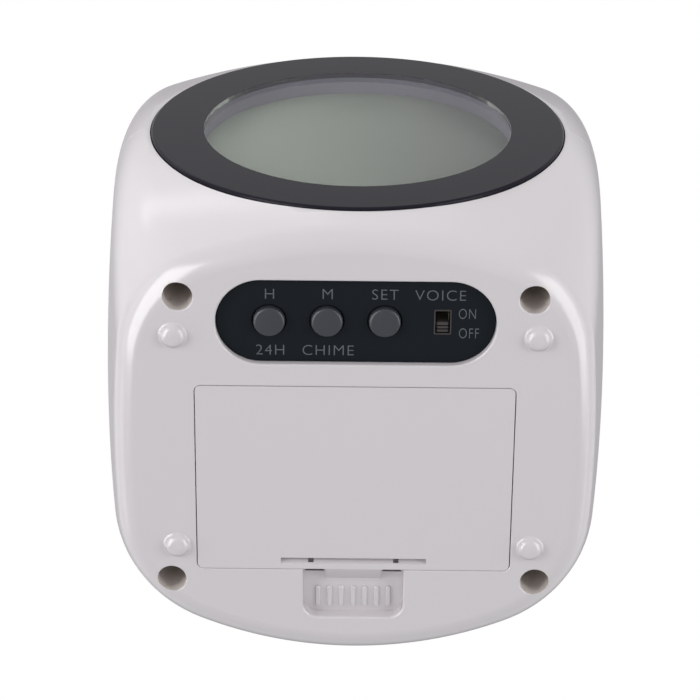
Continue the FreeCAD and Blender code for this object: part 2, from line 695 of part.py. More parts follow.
def display_stack():
    """Glass, light guide, rubber contact strip and the frame that holds them, seen from behind."""
    half_glass = "(glass_height / 2)"
    guide_back = f"({GUIDE_FRONT} - guide_thickness)"
    glass = block("lcd_glass", ("-glass_half", f"-{GLASS_FRONT}", f"{MIDDLE} - {half_glass}"),
                  ("glass_half", f"-{GUIDE_FRONT}", f"{MIDDLE} + {half_glass}"))
    piece(glass, "lcd_glass")
    strip_top = f"({MIDDLE} - {half_glass} + strip_foot)"
    guide = block("light_guide", ("-guide_half", f"-{GUIDE_FRONT}", f"{strip_top} + gap"),
                  ("guide_half", f"-{guide_back}", f"{MIDDLE} + {half_glass}"))
    piece(guide, "light_guide")
    led = block("backlight_led", ("guide_half", f"-({GUIDE_FRONT} - gap)", f"{MIDDLE} - wall"),
                ("glass_half", f"-{guide_back}", f"{MIDDLE} + wall"))
    piece(grouped("backlight_leds", both_sides("backlight_led", led)), "backlight_leds")
    half_rubber = "(display_board_half - gap)"
    rubber = block("elastomer_strip", (f"-{half_rubber}", f"-{GUIDE_FRONT}", f"{MIDDLE} - {half_glass}"),
                   (half_rubber, f"-{DISPLAY_BOARD}", strip_top))
    piece(rubber, "elastomer_strip")

    half_x = "(glass_half + frame_wall)"
    high = f"({MIDDLE} + {half_glass} + frame_wall)"
    low = f"({MIDDLE} - {half_glass} - frame_wall)"
    tray = block("frame_tray", (f"-{half_x}", f"-{GLASS_FRONT} + 2 * gap", low),
                 (half_x, f"-{FRAME_BACK}", high))
    rail = block("frame_rail", (f"{half_x} - frame_wall + gap", f"-{FRONT_WALL}", f"{MIDDLE} - rail_half"),
                 (half_x, f"-{FRAME_BACK}", f"{MIDDLE} + rail_half"))
    tall = ("hook_width / 2", f"{MIDDLE} + hook_width")
    side = "(display_board_half + gap)"
    stop = frame_hook("frame_stop", "display_board_half - 2 * hook_thickness", "display_board_half",
                      DISPLAY_BOARD, tall)
    beam = frame_hook("frame_beam", side, f"{side} + hook_thickness",
                      f"({DISPLAY_BOARD} - board_thickness - hook_thickness)", tall)
    nose = block("frame_nose", ("display_board_half - hook_thickness / 2", BOARD_BACK,
                                f"{tall[1]} - {tall[0]}"),
                 (f"{side} + gap", f"{BOARD_BACK} + hook_thickness", f"{tall[1]} + {tall[0]}"))
    solid = fused("frame_solid", [tray] + both_sides("frame_rail", rail)
                  + both_sides("frame_hook", fused("frame_hook", [stop, beam, nose])))
    pocket_x = "(glass_half + gap / 2)"
    pocket_z = f"({half_glass} + gap / 2)"
    pocket = block("frame_pocket", (f"-{pocket_x}", f"-{LARGE}", f"{MIDDLE} - {pocket_z}"),
                   (pocket_x, f"-{guide_back}", f"{MIDDLE} + {pocket_z}"))
    window = block("frame_window", (f"-{half_rubber} - gap / 2", f"-{LARGE}", f"{MIDDLE} - {pocket_z}"),
                   (f"{half_rubber} + gap / 2", "0", f"{MIDDLE} - {half_glass} + strip_foot + gap / 2"))
    piece(cut("display_frame", solid, [pocket, window]), "display_frame")


def frame_hook(name, start, end, reach, tall):
    """Part of a snap hook behind the frame, which holds the display board at its side."""
    half, middle = tall
    return block(name, (start, f"-{FRAME_BACK} - frame_ledge / 2", f"{middle} - {half}"),
                 (end, f"-{reach}", f"{middle} + {half}"))


def display_board():
    """Main circuit board behind the display, with its chips, crystal and capacitor."""
    board = block("display_board",
                  ("-display_board_half", f"-{DISPLAY_BOARD}",
                   f"{MIDDLE} - glass_height / 2 - frame_foot"),
                  ("display_board_half", BOARD_BACK, f"{MIDDLE} + glass_height / 2 + frame_wall"))
    piece(board, "display_board")
    half = "(display_board_half / 2)"
    chip = rod("clock_chip", "chip_radius", "chip_height", ("0", BOARD_BACK, f"{MIDDLE} + chip_radius"),
               BACKWARD, FACES["tower"])
    piece(chip, "clock_chip")
    low = f"({MIDDLE} - {half} - speech_width / 2)"
    speech = block("speech_chip", (f"-{half} - speech_length / 2", BOARD_BACK, low),
                   (f"-{half} + speech_length / 2", f"{BOARD_BACK} + chip_height", f"{low} + speech_width"))
    piece(speech, "speech_chip")
    crystal = block("crystal_can", (half, BOARD_BACK, low),
                    (f"{half} + crystal_thickness", f"{BOARD_BACK} + crystal_thickness",
                     f"{low} + speech_width"))
    piece(crystal, "crystal_can")
    capacitor = rod("filter_capacitor", "capacitor_radius", "capacitor_height",
                    (half, BOARD_BACK, f"{MIDDLE} + rail_half - capacitor_radius"), BACKWARD,
                    FACES["tower"])
    piece(capacitor, "filter_capacitor")


# ---------------------------------------------------------------- control strip

BUTTONS = [("hour", -1.5), ("minute", -0.5), ("mode", 0.5)]
SWITCH_X = "(1.5 * button_pitch)"


def control_panel():
    """Dark sunk panel: its face fills the opening, its flange lies on the floor inside."""
    face = plate("panel_face", f"{FLOOR} - {PANEL_FACE}",
                 stadium=("(strip_length - gap)", "(strip_width - gap)"),
                 at=("0", "strip_back", PANEL_FACE))
    flange = plate("panel_flange", "panel_thickness",
                   rectangle("strip_length / 2 + strip_flange", "strip_width / 2 + strip_flange"),
                   at=("0", "strip_back", FLOOR))
    clip = mirrored("panel_clip", hook("panel_hook", CONTROL_HALF, "strip_back",
                                       f"{CONTROL_BOARD} - {PANEL_BACK} + gap", "0",
                                       "-board_thickness"), (0, 0, 1), f"{CONTROL_BOARD} / 2")
    tools = [rod(f"{name}_hole", "button_radius + gap", "(4 * wall)",
                 (f"{slot} * button_pitch", "strip_back", "0")) for name, slot in BUTTONS]
    tools.append(block("switch_slot",
                       (f"{SWITCH_X} - slot_width / 2", "strip_back - slot_length / 2", "0"),
                       (f"{SWITCH_X} + slot_width / 2", "strip_back + slot_length / 2",
                        f"{PANEL_BACK} + gap")))
    solid = fused("panel_solid", [face, flange] + both_sides("panel_clip", clip))
    piece(cut("control_panel", solid, tools), "control_panel")


def push_buttons():
    """Three buttons, each with the plunger of its key switch, and the three switch bodies."""
    keys = []
    for name, slot in BUTTONS:
        x = f"{slot} * button_pitch"
        face = f"({PANEL_FACE} - button_proud)"
        flange = f"({PANEL_BACK} + gap / 2)"
        flange_half = "(button_radius + 3 * gap)"
        cap = turned(f"{name}_cap", [("0", face), ("button_radius - button_bevel", face),
                                     ("button_radius", f"{face} + button_bevel"),
                                     ("button_radius", flange), ("0", flange)], (x, "strip_back", "0"))
        foot = block(f"{name}_flange", (f"{x} - {flange_half}", f"strip_back - {flange_half}", flange),
                     (f"{x} + {flange_half}", f"strip_back + {flange_half}", BUTTON_BACK))
        piece(fused(f"{name}_button", [cap, foot]), f"{name}_button")
        plunger = block(f"{name}_plunger",
                        (f"{x} - plunger_half", "strip_back - plunger_half", BUTTON_BACK),
                        (f"{x} + plunger_half", "strip_back + plunger_half",
                         f"{BUTTON_BACK} + plunger_length"))
        piece(plunger, f"{name}_plunger")
        low = f"({CONTROL_BOARD} - key_height)"
        housing = block(f"{name}_housing", (f"{x} - key_side / 2", "strip_back - key_side / 2", low),
                        (f"{x} + key_side / 2", "strip_back + key_side / 2", CONTROL_BOARD))
        well = block(f"{name}_well", (f"{x} - plunger_half - gap", "strip_back - plunger_half - gap", "0"),
                     (f"{x} + plunger_half + gap", "strip_back + plunger_half + gap",
                      f"{CONTROL_BOARD} - 2 * gap"))
        keys.append(cut(f"{name}_key", housing, [well]))
    piece(grouped("key_switches", keys), "key_switches")


def slide_switch():
    """Slide switch with the knob that stands at its off end, towards the back of the clock."""
    low = f"({CONTROL_BOARD} - key_height - gap)"
    can = block("slider_can",
                (f"{SWITCH_X} - slider_width / 2", "strip_back - slider_length / 2", low),
                (f"{SWITCH_X} + slider_width / 2", "strip_back + slider_length / 2", CONTROL_BOARD))
    well = block("slider_well",
                 (f"{SWITCH_X} - slot_width / 2", "strip_back - slot_length / 2 - gap", "0"),
                 (f"{SWITCH_X} + slot_width / 2", "strip_back + slot_length / 2 + gap",
                  f"{CONTROL_BOARD} - 3 * gap"))
    piece(cut("slide_switch", can, [well]), "slide_switch")
    back = "(strip_back + slot_length / 2 - gap / 2)"
    knob = block("knob_block", (f"{SWITCH_X} - slot_width / 2 + gap", f"{back} - knob_length",
                                f"{PANEL_FACE} + gap / 2"),
                 (f"{SWITCH_X} + slot_width / 2 - gap", back, f"{CONTROL_BOARD} - 4 * gap"))
    grooves = []
    for i in (1, 2):
        middle = f"{back} - {i} / 3 * knob_length"
        grooves.append(block(f"knob_groove_{i}",
                             (f"{SWITCH_X} - slot_width", f"{middle} - gap / 2", "0"),
                             (f"{SWITCH_X} + slot_width", f"{middle} + gap / 2",
                              f"{PANEL_FACE} + 3 * gap")))
    piece(cut("switch_knob", knob, grooves), "switch_knob")


def control_board():
    board = block("control_board", (f"-{CONTROL_HALF}", f"{BOARD_BACK} + 2 * gap", CONTROL_BOARD),
                  (CONTROL_HALF, "strip_back + control_board_reach",
                   f"{CONTROL_BOARD} + board_thickness"))
    piece(board, "control_board")


# ---------------------------------------------------------------- battery bay

def battery_door():
    """Flat lid: two tabs hook over the floor in front, a slit frees the springy latch behind."""
    rear = f"({DOOR_REAR} - gap)"
    lid = block("door_lid", (f"gap - {DOOR_X}", f"{DOOR_FRONT} + gap", "foot_height"),
                (f"{DOOR_X} - gap", rear, DOOR_TOP))
    riser_back = f"({DOOR_FRONT} + door_ledge + tab_thickness + gap)"
    tab_low = f"({FLOOR} + gap)"
    riser = block("tab_riser", ("tab_side - tab_width / 2", f"{DOOR_FRONT} + door_ledge + gap",
                                f"{DOOR_TOP} - gap"),
                  ("tab_side + tab_width / 2", riser_back, f"{tab_low} + tab_thickness"))
    tab = block("tab_hook", ("tab_side - tab_width / 2", f"{DOOR_FRONT} - tab_reach + gap", tab_low),
                ("tab_side + tab_width / 2", riser_back, f"{tab_low} + tab_thickness"))
    tongue = block("latch_tongue", ("-tongue_width / 2", f"{rear} - latch_beam", f"{DOOR_TOP} - 3 * gap"),
                   ("tongue_width / 2", f"{rear} + tongue_reach", DOOR_TOP))
    solid = fused("door_solid", [lid, tongue] + both_sides("tab_riser", riser)
                  + both_sides("tab_hook", tab))
    slit = block("door_slit", ("-slit_length / 2", f"{rear} - latch_beam - slit_width", "0"),
                 ("slit_length / 2", f"{rear} - latch_beam", DOOR_TOP))
    piece(cut("battery_door", solid, [slit]), "battery_door")


def battery_cells():
    """Three cells, the middle one the other way round."""
    about = FreeCAD.Rotation(FreeCAD.Vector(0, 1, 0), -90)
    for i, (label, way, turn) in enumerate((("front_cell", "", SIDEWAYS), ("middle_cell", "-", about),
                                            ("rear_cell", "", SIDEWAYS))):
        y = f"door_back + {i - 1} * {CELL_PITCH}"
        jacket = rod(label + "_jacket", "cell_radius", "cell_length - nub_length",
                     (f"{way}(-cell_length / 2)", y, CELL_RISE), turn)
        nub = rod(label + "_nub", "nub_radius", "2 * nub_length",
                  (f"{way}(cell_length / 2 - 2 * nub_length)", y, CELL_RISE), turn, FACES["tower"])
        piece(fused(label, [jacket, nub]), label)


def battery_contacts():
    """Bent strips at both ends of the bay: a flat leg on the wall and a bowed leg on the cell."""
    for side, label in ((-1, "left_contacts"), (1, "right_contacts")):
        contacts = []
        for i in (-1, 0, 1):
            y = f"(door_back + {i} * {CELL_PITCH})"
            body = doc.addObject("PartDesign::Body", f"{label}_{i + 1}")
            sketch = body_sketch(body, "XZ_Plane")
            wall_x = f"{side} * {BAY_X}"
            tip_x = f"{side} * (cell_length / 2)"
            foot = f"({CELL_RISE} - 0.7 * cell_radius)"
            head = f"({CELL_RISE} + 0.7 * cell_radius)"
            thin = f"{side} * contact_thickness"
            draw_outline(sketch, [(wall_x, foot), (wall_x, head), (f"{wall_x} - {thin}", head),
                                  (tip_x, CELL_RISE), (f"{tip_x} + {thin}", f"{CELL_RISE} - gap"),
                                  (f"{wall_x} - {thin}", f"{head} - 2.5 * contact_thickness"),
                                  (f"{wall_x} - {thin}", foot)])
            pad = body.newObject("PartDesign::Pad", f"{label}_{i + 1}_pad")
            pad.Profile = sketch
            pad.Midplane = True
            pad.setExpression("Length", sized("contact_width"))
            place(body, ("0", y, "0"))
            contacts.append(body)
        piece(grouped(label, contacts), label)


# ---------------------------------------------------------------- loudspeaker

def speaker():
    """Cup with its flat film and magnet, held in the steps of the ribs."""
    neck = "(speaker_face - basket_depth)"
    cup = rod("speaker_cup", "speaker_radius", "basket_depth", ("0", neck, SPEAKER_RISE),
              BACKWARD, FACES["round"])
    hollow = rod("speaker_hollow", "speaker_radius - film", "basket_depth",
                 ("0", f"{neck} + film", SPEAKER_RISE), BACKWARD, FACES["round"])
    piece(cut("speaker_basket", cup, [hollow]), "speaker_basket")
    film = rod("speaker_film", "speaker_radius - film", "film",
               ("0", "speaker_face - 2 * film", SPEAKER_RISE), BACKWARD, FACES["round"])
    piece(film, "speaker_film")
    magnet = rod("speaker_magnet", "magnet_radius", "magnet_depth",
                 ("0", f"{neck} - magnet_depth", SPEAKER_RISE), BACKWARD, FACES["round"])
    piece(magnet, "speaker_magnet")


# ---------------------------------------------------------------- talk button

def talk_button():
    """Large round button with a bevelled face, a skirt and four tabs that the roof keeps in."""
    shoulder = f"({TOP} + talk_proud - talk_crown)"
    low = f"({TALK_FLANGE_TOP} - talk_flange)"
    under = f"({shoulder} - talk_wall)"
    inside = "(talk_radius - talk_wall)"
    cap = turned("talk_cap", [("0", f"{TOP} + talk_proud"),
                              ("talk_radius - talk_crown", f"{TOP} + talk_proud"),
                              ("talk_radius", shoulder), ("talk_radius", low), ("0", low)])
    hollow = rod("talk_hollow", inside, f"{under} - {low} + gap", ("0", "0", f"{low} - gap"),
                 sides=FACES["round"])
    reach = "(talk_radius + 6 * gap)"
    tab = block("talk_tab_x", (inside, "-talk_tab / 2", low), (reach, "talk_tab / 2", TALK_FLANGE_TOP))
    back_tab = block("talk_tab_y", ("-talk_tab / 2", inside, low), ("talk_tab / 2", reach, TALK_FLANGE_TOP))
    tabs = both_sides("talk_tab_x", tab) + [back_tab, mirrored("talk_tab_front", back_tab, (0, 1, 0))]
    half = "(plunger_half + talk_wall)"
    key_top = f"({TALK_BOARD} + key_height + talk_travel + gap)"
    stem = block("talk_stem", (f"-{half}", f"-{half}", key_top), (half, half, f"{under} + gap"))
    piece(fused("talk_button", [cut("talk_skirt", cap, [hollow]), stem] + tabs), "talk_button")
    plunger = block("talk_plunger",
                    ("-plunger_half", "-plunger_half", f"{TALK_BOARD} + talk_travel + 2 * gap"),
                    ("plunger_half", "plunger_half", key_top))
    piece(plunger, "talk_plunger")
    housing = block("talk_housing", ("-key_side / 2", "-key_side / 2", TALK_BOARD),
                    ("key_side / 2", "key_side / 2", f"{TALK_BOARD} + key_height"))
    well = block("talk_well", ("-plunger_half - gap", "-plunger_half - gap", f"{TALK_BOARD} + gap"),
                 ("plunger_half + gap", "plunger_half + gap", TOP))
    piece(cut("talk_key_switch", housing, [well]), "talk_key_switch")
    board = block("talk_board",
                  ("-talk_board_half", "-talk_board_width / 2", f"{TALK_BOARD} - board_thickness"),
                  ("talk_board_half", "talk_board_width / 2", TALK_BOARD))
    piece(board, "talk_board")


# ---------------------------------------------------------------- flat cables

def flat_cables():
    """Flat leads between the boards, with both ends lying on their boards."""
    out = f"{BOARD_BACK} + ribbon_thickness"
    top = f"({CONTROL_BOARD} + board_thickness)"
    foot = f"({MIDDLE} - glass_height / 2)"
    turn_y = f"({BOARD_BACK} + ribbon_swing)"
    end_y = f"({turn_y} + ribbon_seat)"
    piece(strip("board_ribbon", "board_ribbon_width", [
        (BOARD_BACK, f"{foot} + ribbon_seat"), (BOARD_BACK, foot), (turn_y, f"{top} + ribbon_thickness"),
        (turn_y, top), (end_y, top), (end_y, f"{top} + ribbon_thickness"),
        (f"{turn_y} + ribbon_thickness", f"{top} + ribbon_thickness"), (out, foot),
        (out, f"{foot} + ribbon_seat")], "0"), "board_ribbon")
    head = f"({MIDDLE} + glass_height / 2 - ribbon_seat)"
    under = f"({TALK_BOARD} - board_thickness)"
    edge = "(-talk_board_width / 2)"
    piece(strip("talk_ribbon", "talk_ribbon_width", [
        (BOARD_BACK, f"{head} - ribbon_seat"), (out, f"{head} - ribbon_seat"), (out, head),
        (edge, f"{under} - 3 * ribbon_thickness"), (edge, f"{under} - ribbon_thickness"),
        (f"{edge} + ribbon_seat", f"{under} - ribbon_thickness"), (f"{edge} + ribbon_seat", under),
        (f"{edge} - ribbon_thickness", under),
        (f"{edge} - ribbon_thickness", f"{under} - 3 * ribbon_thickness"),
        (BOARD_BACK, f"{head} + ribbon_thickness")], "0"), "talk_ribbon")


def build():
    outer = outer_form()
    inner = inner_form()
    clip = clip_form()
    lower_case(outer, inner, clip)
    upper_case(outer, inner, clip)
    case_screws()
    display_front()
    display_stack()
    display_board()
    control_panel()
    push_buttons()
    slide_switch()
    control_board()
    battery_door()
    battery_cells()
    battery_contacts()
    speaker()
    talk_button()
    flat_cables()


build()
doc.recompute()

faults = [thing.Name for thing in doc.Objects if "Invalid" in thing.State or "Error" in thing.State]
faults += [thing.Label for thing in pieces if thing.Shape.isNull() or not thing.Shape.isValid()]
if faults:
    raise RuntimeError("failed: " + ", ".join(faults))

os.makedirs("parts", exist_ok=True)
for thing in pieces:
    thing.Shape.exportStep(f"parts/{thing.Label}.step")
    print(f"{thing.Label}: {len(thing.Shape.Solids)} solid(s), {thing.Shape.Volume:.1f} mm3")
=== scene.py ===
# %% [markdown]
# # A talking table clock, seen from below
# The clock is a rounded cube of pale glossy plastic with a round sunk display in front, a big
# talk button on top, and under its base a sunk strip of controls and a battery door. The CAD
# solids are the frame. This lesson dresses them: it builds smooth skins for the moulded shells,
# gives every piece a finish and lights the clock as in a small product studio.

# %% Load the frame
import json
import math

import bmesh
import bpy
from mathutils import Matrix, Vector


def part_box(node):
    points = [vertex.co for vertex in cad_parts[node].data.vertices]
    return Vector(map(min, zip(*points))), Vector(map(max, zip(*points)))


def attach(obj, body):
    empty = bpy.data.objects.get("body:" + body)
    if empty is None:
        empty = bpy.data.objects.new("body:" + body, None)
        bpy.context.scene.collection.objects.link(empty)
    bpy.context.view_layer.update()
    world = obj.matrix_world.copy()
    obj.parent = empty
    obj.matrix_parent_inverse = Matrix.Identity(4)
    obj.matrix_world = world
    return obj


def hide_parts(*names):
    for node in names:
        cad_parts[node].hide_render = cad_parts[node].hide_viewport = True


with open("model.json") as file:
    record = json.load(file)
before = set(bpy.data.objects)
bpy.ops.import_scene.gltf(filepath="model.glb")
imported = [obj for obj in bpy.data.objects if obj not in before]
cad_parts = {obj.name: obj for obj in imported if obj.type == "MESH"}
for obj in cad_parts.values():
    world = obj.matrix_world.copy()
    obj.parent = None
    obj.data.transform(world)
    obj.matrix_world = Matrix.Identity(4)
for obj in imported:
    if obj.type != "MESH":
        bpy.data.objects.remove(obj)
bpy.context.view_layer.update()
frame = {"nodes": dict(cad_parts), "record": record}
MM = 0.001


# %% [markdown]
# Sizes are in millimetres, with the origin under the middle of the case on the table plane, as
# in the CAD part. Helpers scale them to metres when a mesh is made, so that the numbers below
# read like a drawing.

# %% Sizes of the case
FOOT = 1.1  # the base stands this high on its feet
HEIGHT = 84.0
TOP = FOOT + HEIGHT
MIDDLE = FOOT + HEIGHT / 2
WALL = 2.0
FLOOR = FOOT + WALL
EDGE = 3.0  # round between base and walls
LAND = -44.9  # the flat in the domed front that carries the ring
LAND_RADIUS = 36.3
FRONT_RADIUS = 109.0
HALF_WIDTH = 43.5
BACK = 45.4
SIDE_BELLY = 3.45
BACK_BELLY = 11.4
SMALL_CORNER = 7.9
BASE_CORNER = 13.0  # how much wider the front corners get at the base
BASE_DRAW = 0.6  # how far the side walls draw in there
WIDE_CORNER = 23.0
BEARINGS = (-71.2, -5.5, 3.3, 66.3)  # degrees at which one arc of the outline meets the next
print("case:", 2 * HALF_WIDTH, "mm wide,", BACK - LAND, "mm deep,", HEIGHT, "mm high")


# %% [markdown]
# ## Small tools
# A mesh is made from lists of points and faces. Rings of points that all have the same count
# can be joined by bands of four-sided faces: that one idea makes shells, prisms and turned
# pieces. `smooth` rounds the shading but keeps every fold that is sharper than a given angle.

# %% Mesh helpers
def placed(name, data):
    """Puts a mesh, lamp, text or camera into the scene."""
    obj = bpy.data.objects.new(name, data)
    bpy.context.scene.collection.objects.link(obj)
    return obj


def new_object(name, points, faces):
    mesh = bpy.data.meshes.new(name)
    mesh.from_pydata([[c * MM for c in point] for point in points], [], faces)
    mesh.validate()
    return placed(name, mesh)


def tidy_normals(obj):
    work = bmesh.new()
    work.from_mesh(obj.data)
    bmesh.ops.remove_doubles(work, verts=work.verts, dist=0.001 * MM)
    bmesh.ops.recalc_face_normals(work, faces=work.faces)
    work.to_mesh(obj.data)
    work.free()


def smooth(obj, angle=25):
    """Smooth shading with sharp folds, and flat faces that stay flat beside rounded ones."""
    mesh = obj.data
    mesh.polygons.foreach_set("use_smooth", [True] * len(mesh.polygons))
    work = bmesh.new()
    work.from_mesh(mesh)
    for edge in work.edges:
        edge.smooth = edge.is_manifold and edge.calc_face_angle(0) < math.radians(angle)
    work.to_mesh(mesh)
    work.free()
    weighting = obj.modifiers.new("weighting", "WEIGHTED_NORMAL")
    weighting.keep_sharp = True
    return bake(obj)


def bake(obj):
    """Applies the modifiers: the evaluated mesh becomes the object's own plain mesh."""
    bpy.context.view_layer.update()
    graph = bpy.context.evaluated_depsgraph_get()
    baked = bpy.data.meshes.new_from_object(obj.evaluated_get(graph), depsgraph=graph)
    obj.modifiers.clear()
    old = obj.data
    obj.data = baked
    bpy.data.meshes.remove(old)
    return obj


def banded(name, rings):
    """A closed solid through rings of equal count, with flat ends."""
    count = len(rings[0])
    points = [point for ring in rings for point in ring]
    faces = []
    for row in range(len(rings) - 1):
        for i in range(count):
            j = (i + 1) % count
            low, high = row * count, (row + 1) * count
            faces.append((low + i, low + j, high + j, high + i))
    faces.append(tuple(range(count - 1, -1, -1)))
    faces.append(tuple(range((len(rings) - 1) * count, len(rings) * count)))
    obj = new_object(name, points, faces)
    tidy_normals(obj)
    return obj


def circle(radius, count=96, x=0.0, y=0.0):
    return [(x + radius * math.cos(2 * math.pi * i / count),
             y + radius * math.sin(2 * math.pi * i / count)) for i in range(count)]


def rounded(half_x, half_y, corner, x=0.0, y=0.0, steps=8):
    """A rectangle with rounded corners; a corner as large as a half side makes a stadium."""
    corner = max(corner, 0.01)
    outline = []
    for sign_x, sign_y, start in ((1, 1, 0), (-1, 1, 90), (-1, -1, 180), (1, -1, 270)):
        centre = (x + sign_x * (half_x - corner), y + sign_y * (half_y - corner))
        for i in range(steps + 1):
            turn = math.radians(start + 90 * i / steps)
            outline.append((centre[0] + corner * math.cos(turn), centre[1] + corner * math.sin(turn)))
    return outline


def level(outline, z):
    return [(x, y, z) for x, y in outline]


def upright(outline, y):
    """An outline that stands upright at this depth, about the axis of the display."""
    return [(x, y, MIDDLE + z) for x, z in outline]


def joined(name, objects):
    """One mesh out of several, so that a tool can be used in a single cut."""
    work = bmesh.new()
    for obj in objects:
        work.from_mesh(obj.data)
        bpy.data.objects.remove(obj)
    mesh = bpy.data.meshes.new(name)
    work.to_mesh(mesh)
    work.free()
    return placed(name, mesh)


def boolean(obj, kind, tools):
    """Adds or cuts away every tool at once with the exact solver."""
    tool = joined(obj.name + "_tool", tools)
    step = obj.modifiers.new("step", "BOOLEAN")
    step.operation = kind
    step.solver = "EXACT"
    step.use_self = True
    step.object = tool
    bake(obj)
    bpy.data.objects.remove(tool)
    return obj


print("a circle has", len(circle(1)), "points, a rounded rectangle", len(rounded(2, 1, 0.5)))


# %% [markdown]
# ## The outline of the case
# Seen from above, each level of the case is four shallow arcs joined by four tangent corner
# arcs. The arcs meet at the same bearings on every level, so the large radii follow from the
# level's width and depth. Both swell as a parabola between base and top. Towards the table the
# front corners of the base get wider and draw in.

# %% Outline formula
def outline_arcs(half, front, back, small, wide):
    """Centre, radius and bearings of the five arcs on the right, from the front to the back."""
    a, b, c, d = [math.radians(bearing) for bearing in BEARINGS]
    width_front = half + small * (math.cos(a) - math.cos(b))
    width_back = half + wide * (math.cos(d) - math.cos(c))
    slope_front = (1 + math.sin(a)) / math.cos(a)
    slope_back = (1 - math.sin(d)) / math.cos(d)
    depth = back - front + small * (math.sin(a) - math.sin(b)) - wide * (math.sin(d) - math.sin(c))
    depth -= slope_front * width_front + slope_back * width_back
    share = math.sin(c) - math.sin(b) - slope_front * (1 - math.cos(b)) - slope_back * (1 - math.cos(c))
    side = depth / share
    low = (width_front - side * (1 - math.cos(b))) / math.cos(a)
    high = (width_back - side * (1 - math.cos(c))) / math.cos(d)

    def along(angle, length):
        return Vector((math.cos(angle), math.sin(angle))) * length

    front_centre = Vector((0, front + low))
    back_centre = Vector((0, back - high))
    small_centre = front_centre + along(a, low - small)
    wide_centre = back_centre + along(d, high - wide)
    side_centre = small_centre - along(b, side - small)
    return [(front_centre, low, -math.pi / 2, a), (small_centre, small, a, b),
            (side_centre, side, b, c), (wide_centre, wide, c, d),
            (back_centre, high, d, math.pi / 2)]


ARC_STEPS = (20, 14, 24, 24, 16)


def case_outline(z, inset, base=1):
    """Points round the case at height z, moved inwards by inset, starting in front.

    The lower shell draws its front corners in. The upper one doesn't, and has 0 for base.
    """
    swell = ((z - MIDDLE) / (HEIGHT / 2)) ** 2
    low = base * max(0.0, (MIDDLE - z) / (HEIGHT / 2))
    dome = LAND_RADIUS ** 2 / (2 * FRONT_RADIUS)
    half = HALF_WIDTH - SIDE_BELLY * swell - BASE_DRAW * low ** 8 - inset
    front = LAND - dome * (1 - ((z - MIDDLE) / LAND_RADIUS) ** 2) + inset
    back = BACK - BACK_BELLY * swell - inset
    small = SMALL_CORNER + BASE_CORNER * low ** 2 - inset
    right = []
    for (centre, radius, start, end), steps in zip(
            outline_arcs(half, front, back, small, WIDE_CORNER - inset), ARC_STEPS):
        for i in range(steps):
            turn = start + (end - start) * i / steps
            right.append((centre.x + radius * math.cos(turn), centre.y + radius * math.sin(turn)))
    right.append((0.0, back))
    left = [(-x, y) for x, y in reversed(right[1:-1])]
    return right + left


print("points round the case:", len(case_outline(MIDDLE, 0)))


# %% [markdown]
# ## Moulded half shells
# The real case is two injection moulded shells. Each is drawn here as rings of the outline: up
# the rounded edge, along the bellied wall, over the parting edge and down the inside. Cuts and
# additions then follow the CAD part. Every mouth is cut with a tool that flares in a small
# quarter round, which gives the soft bright edges that moulded openings have.

# %% Shell and pocket builders
EDGE_STEPS = 10
WALL_STEPS = 14
FLARE_STEPS = 4
GROOVE = 0.12  # the parting line, cut back by this much


def half_shell(name, base):
    """Outside from base to parting line, then inside from parting line to floor."""
    rings = []
    for i in range(EDGE_STEPS + 1):
        turn = math.pi / 2 * i / EDGE_STEPS
        z = FOOT + EDGE * (1 - math.cos(turn))
        rings.append(level(case_outline(z, EDGE * (1 - math.sin(turn)), base), z))
    for i in range(1, WALL_STEPS + 1):
        z = FOOT + EDGE + (MIDDLE - GROOVE - FOOT - EDGE) * i / WALL_STEPS
        rings.append(level(case_outline(z, 0, base), z))
    rings.append(level(case_outline(MIDDLE, GROOVE), MIDDLE))
    for i in range(WALL_STEPS + 1):
        z = MIDDLE - (MIDDLE - FLOOR) * i / WALL_STEPS
        ring = level(case_outline(z, WALL, base), z)
        rings.append([(x, max(y, LAND + 1.5 * WALL), z) for x, y, z in ring])
    return banded(name, rings)


def pocket(outline, mouth, deep, flare):
    """Cutting tool along Z: outline(grow) gives its shape; it flares out at the mouth."""
    way = 1 if deep > mouth else -1
    rings = [level(outline(0), deep)]
    for i in range(FLARE_STEPS + 1):
        turn = math.pi / 2 * i / FLARE_STEPS
        rings.append(level(outline(flare * (1 - math.cos(turn))),
                           mouth + way * flare * (1 - math.sin(turn))))
    rings.append(level(outline(flare), mouth - way * 3))
    return banded("pocket", rings)


def brick(low, high):
    """A plain box between two corners."""
    outline = [(low[0], low[1]), (high[0], low[1]), (high[0], high[1]), (low[0], high[1])]
    return banded("brick", [level(outline, low[2]), level(outline, high[2])])


def drum(radius, low, high, x=0.0, y=0.0, count=48):
    outline = circle(radius, count, x, y)
    return banded("drum", [level(outline, low), level(outline, high)])


def drum_forward(radius, front, back):
    """A cylinder along Y about the axis of the display."""
    outline = circle(radius, 128)
    return banded("drum", [upright(outline, front), upright(outline, back)])


print("a half shell has", EDGE_STEPS + 1 + WALL_STEPS, "rings outside and", WALL_STEPS + 2, "inside")


# %% [markdown]
# ### Shared places
# What several pieces meet at is written once: the screw towers and feet, the ring and its
# window, the strip, the door and the finger recess. Pairs of numbers are X and Y sizes or the
# place on the right, which `both` repeats on the left.

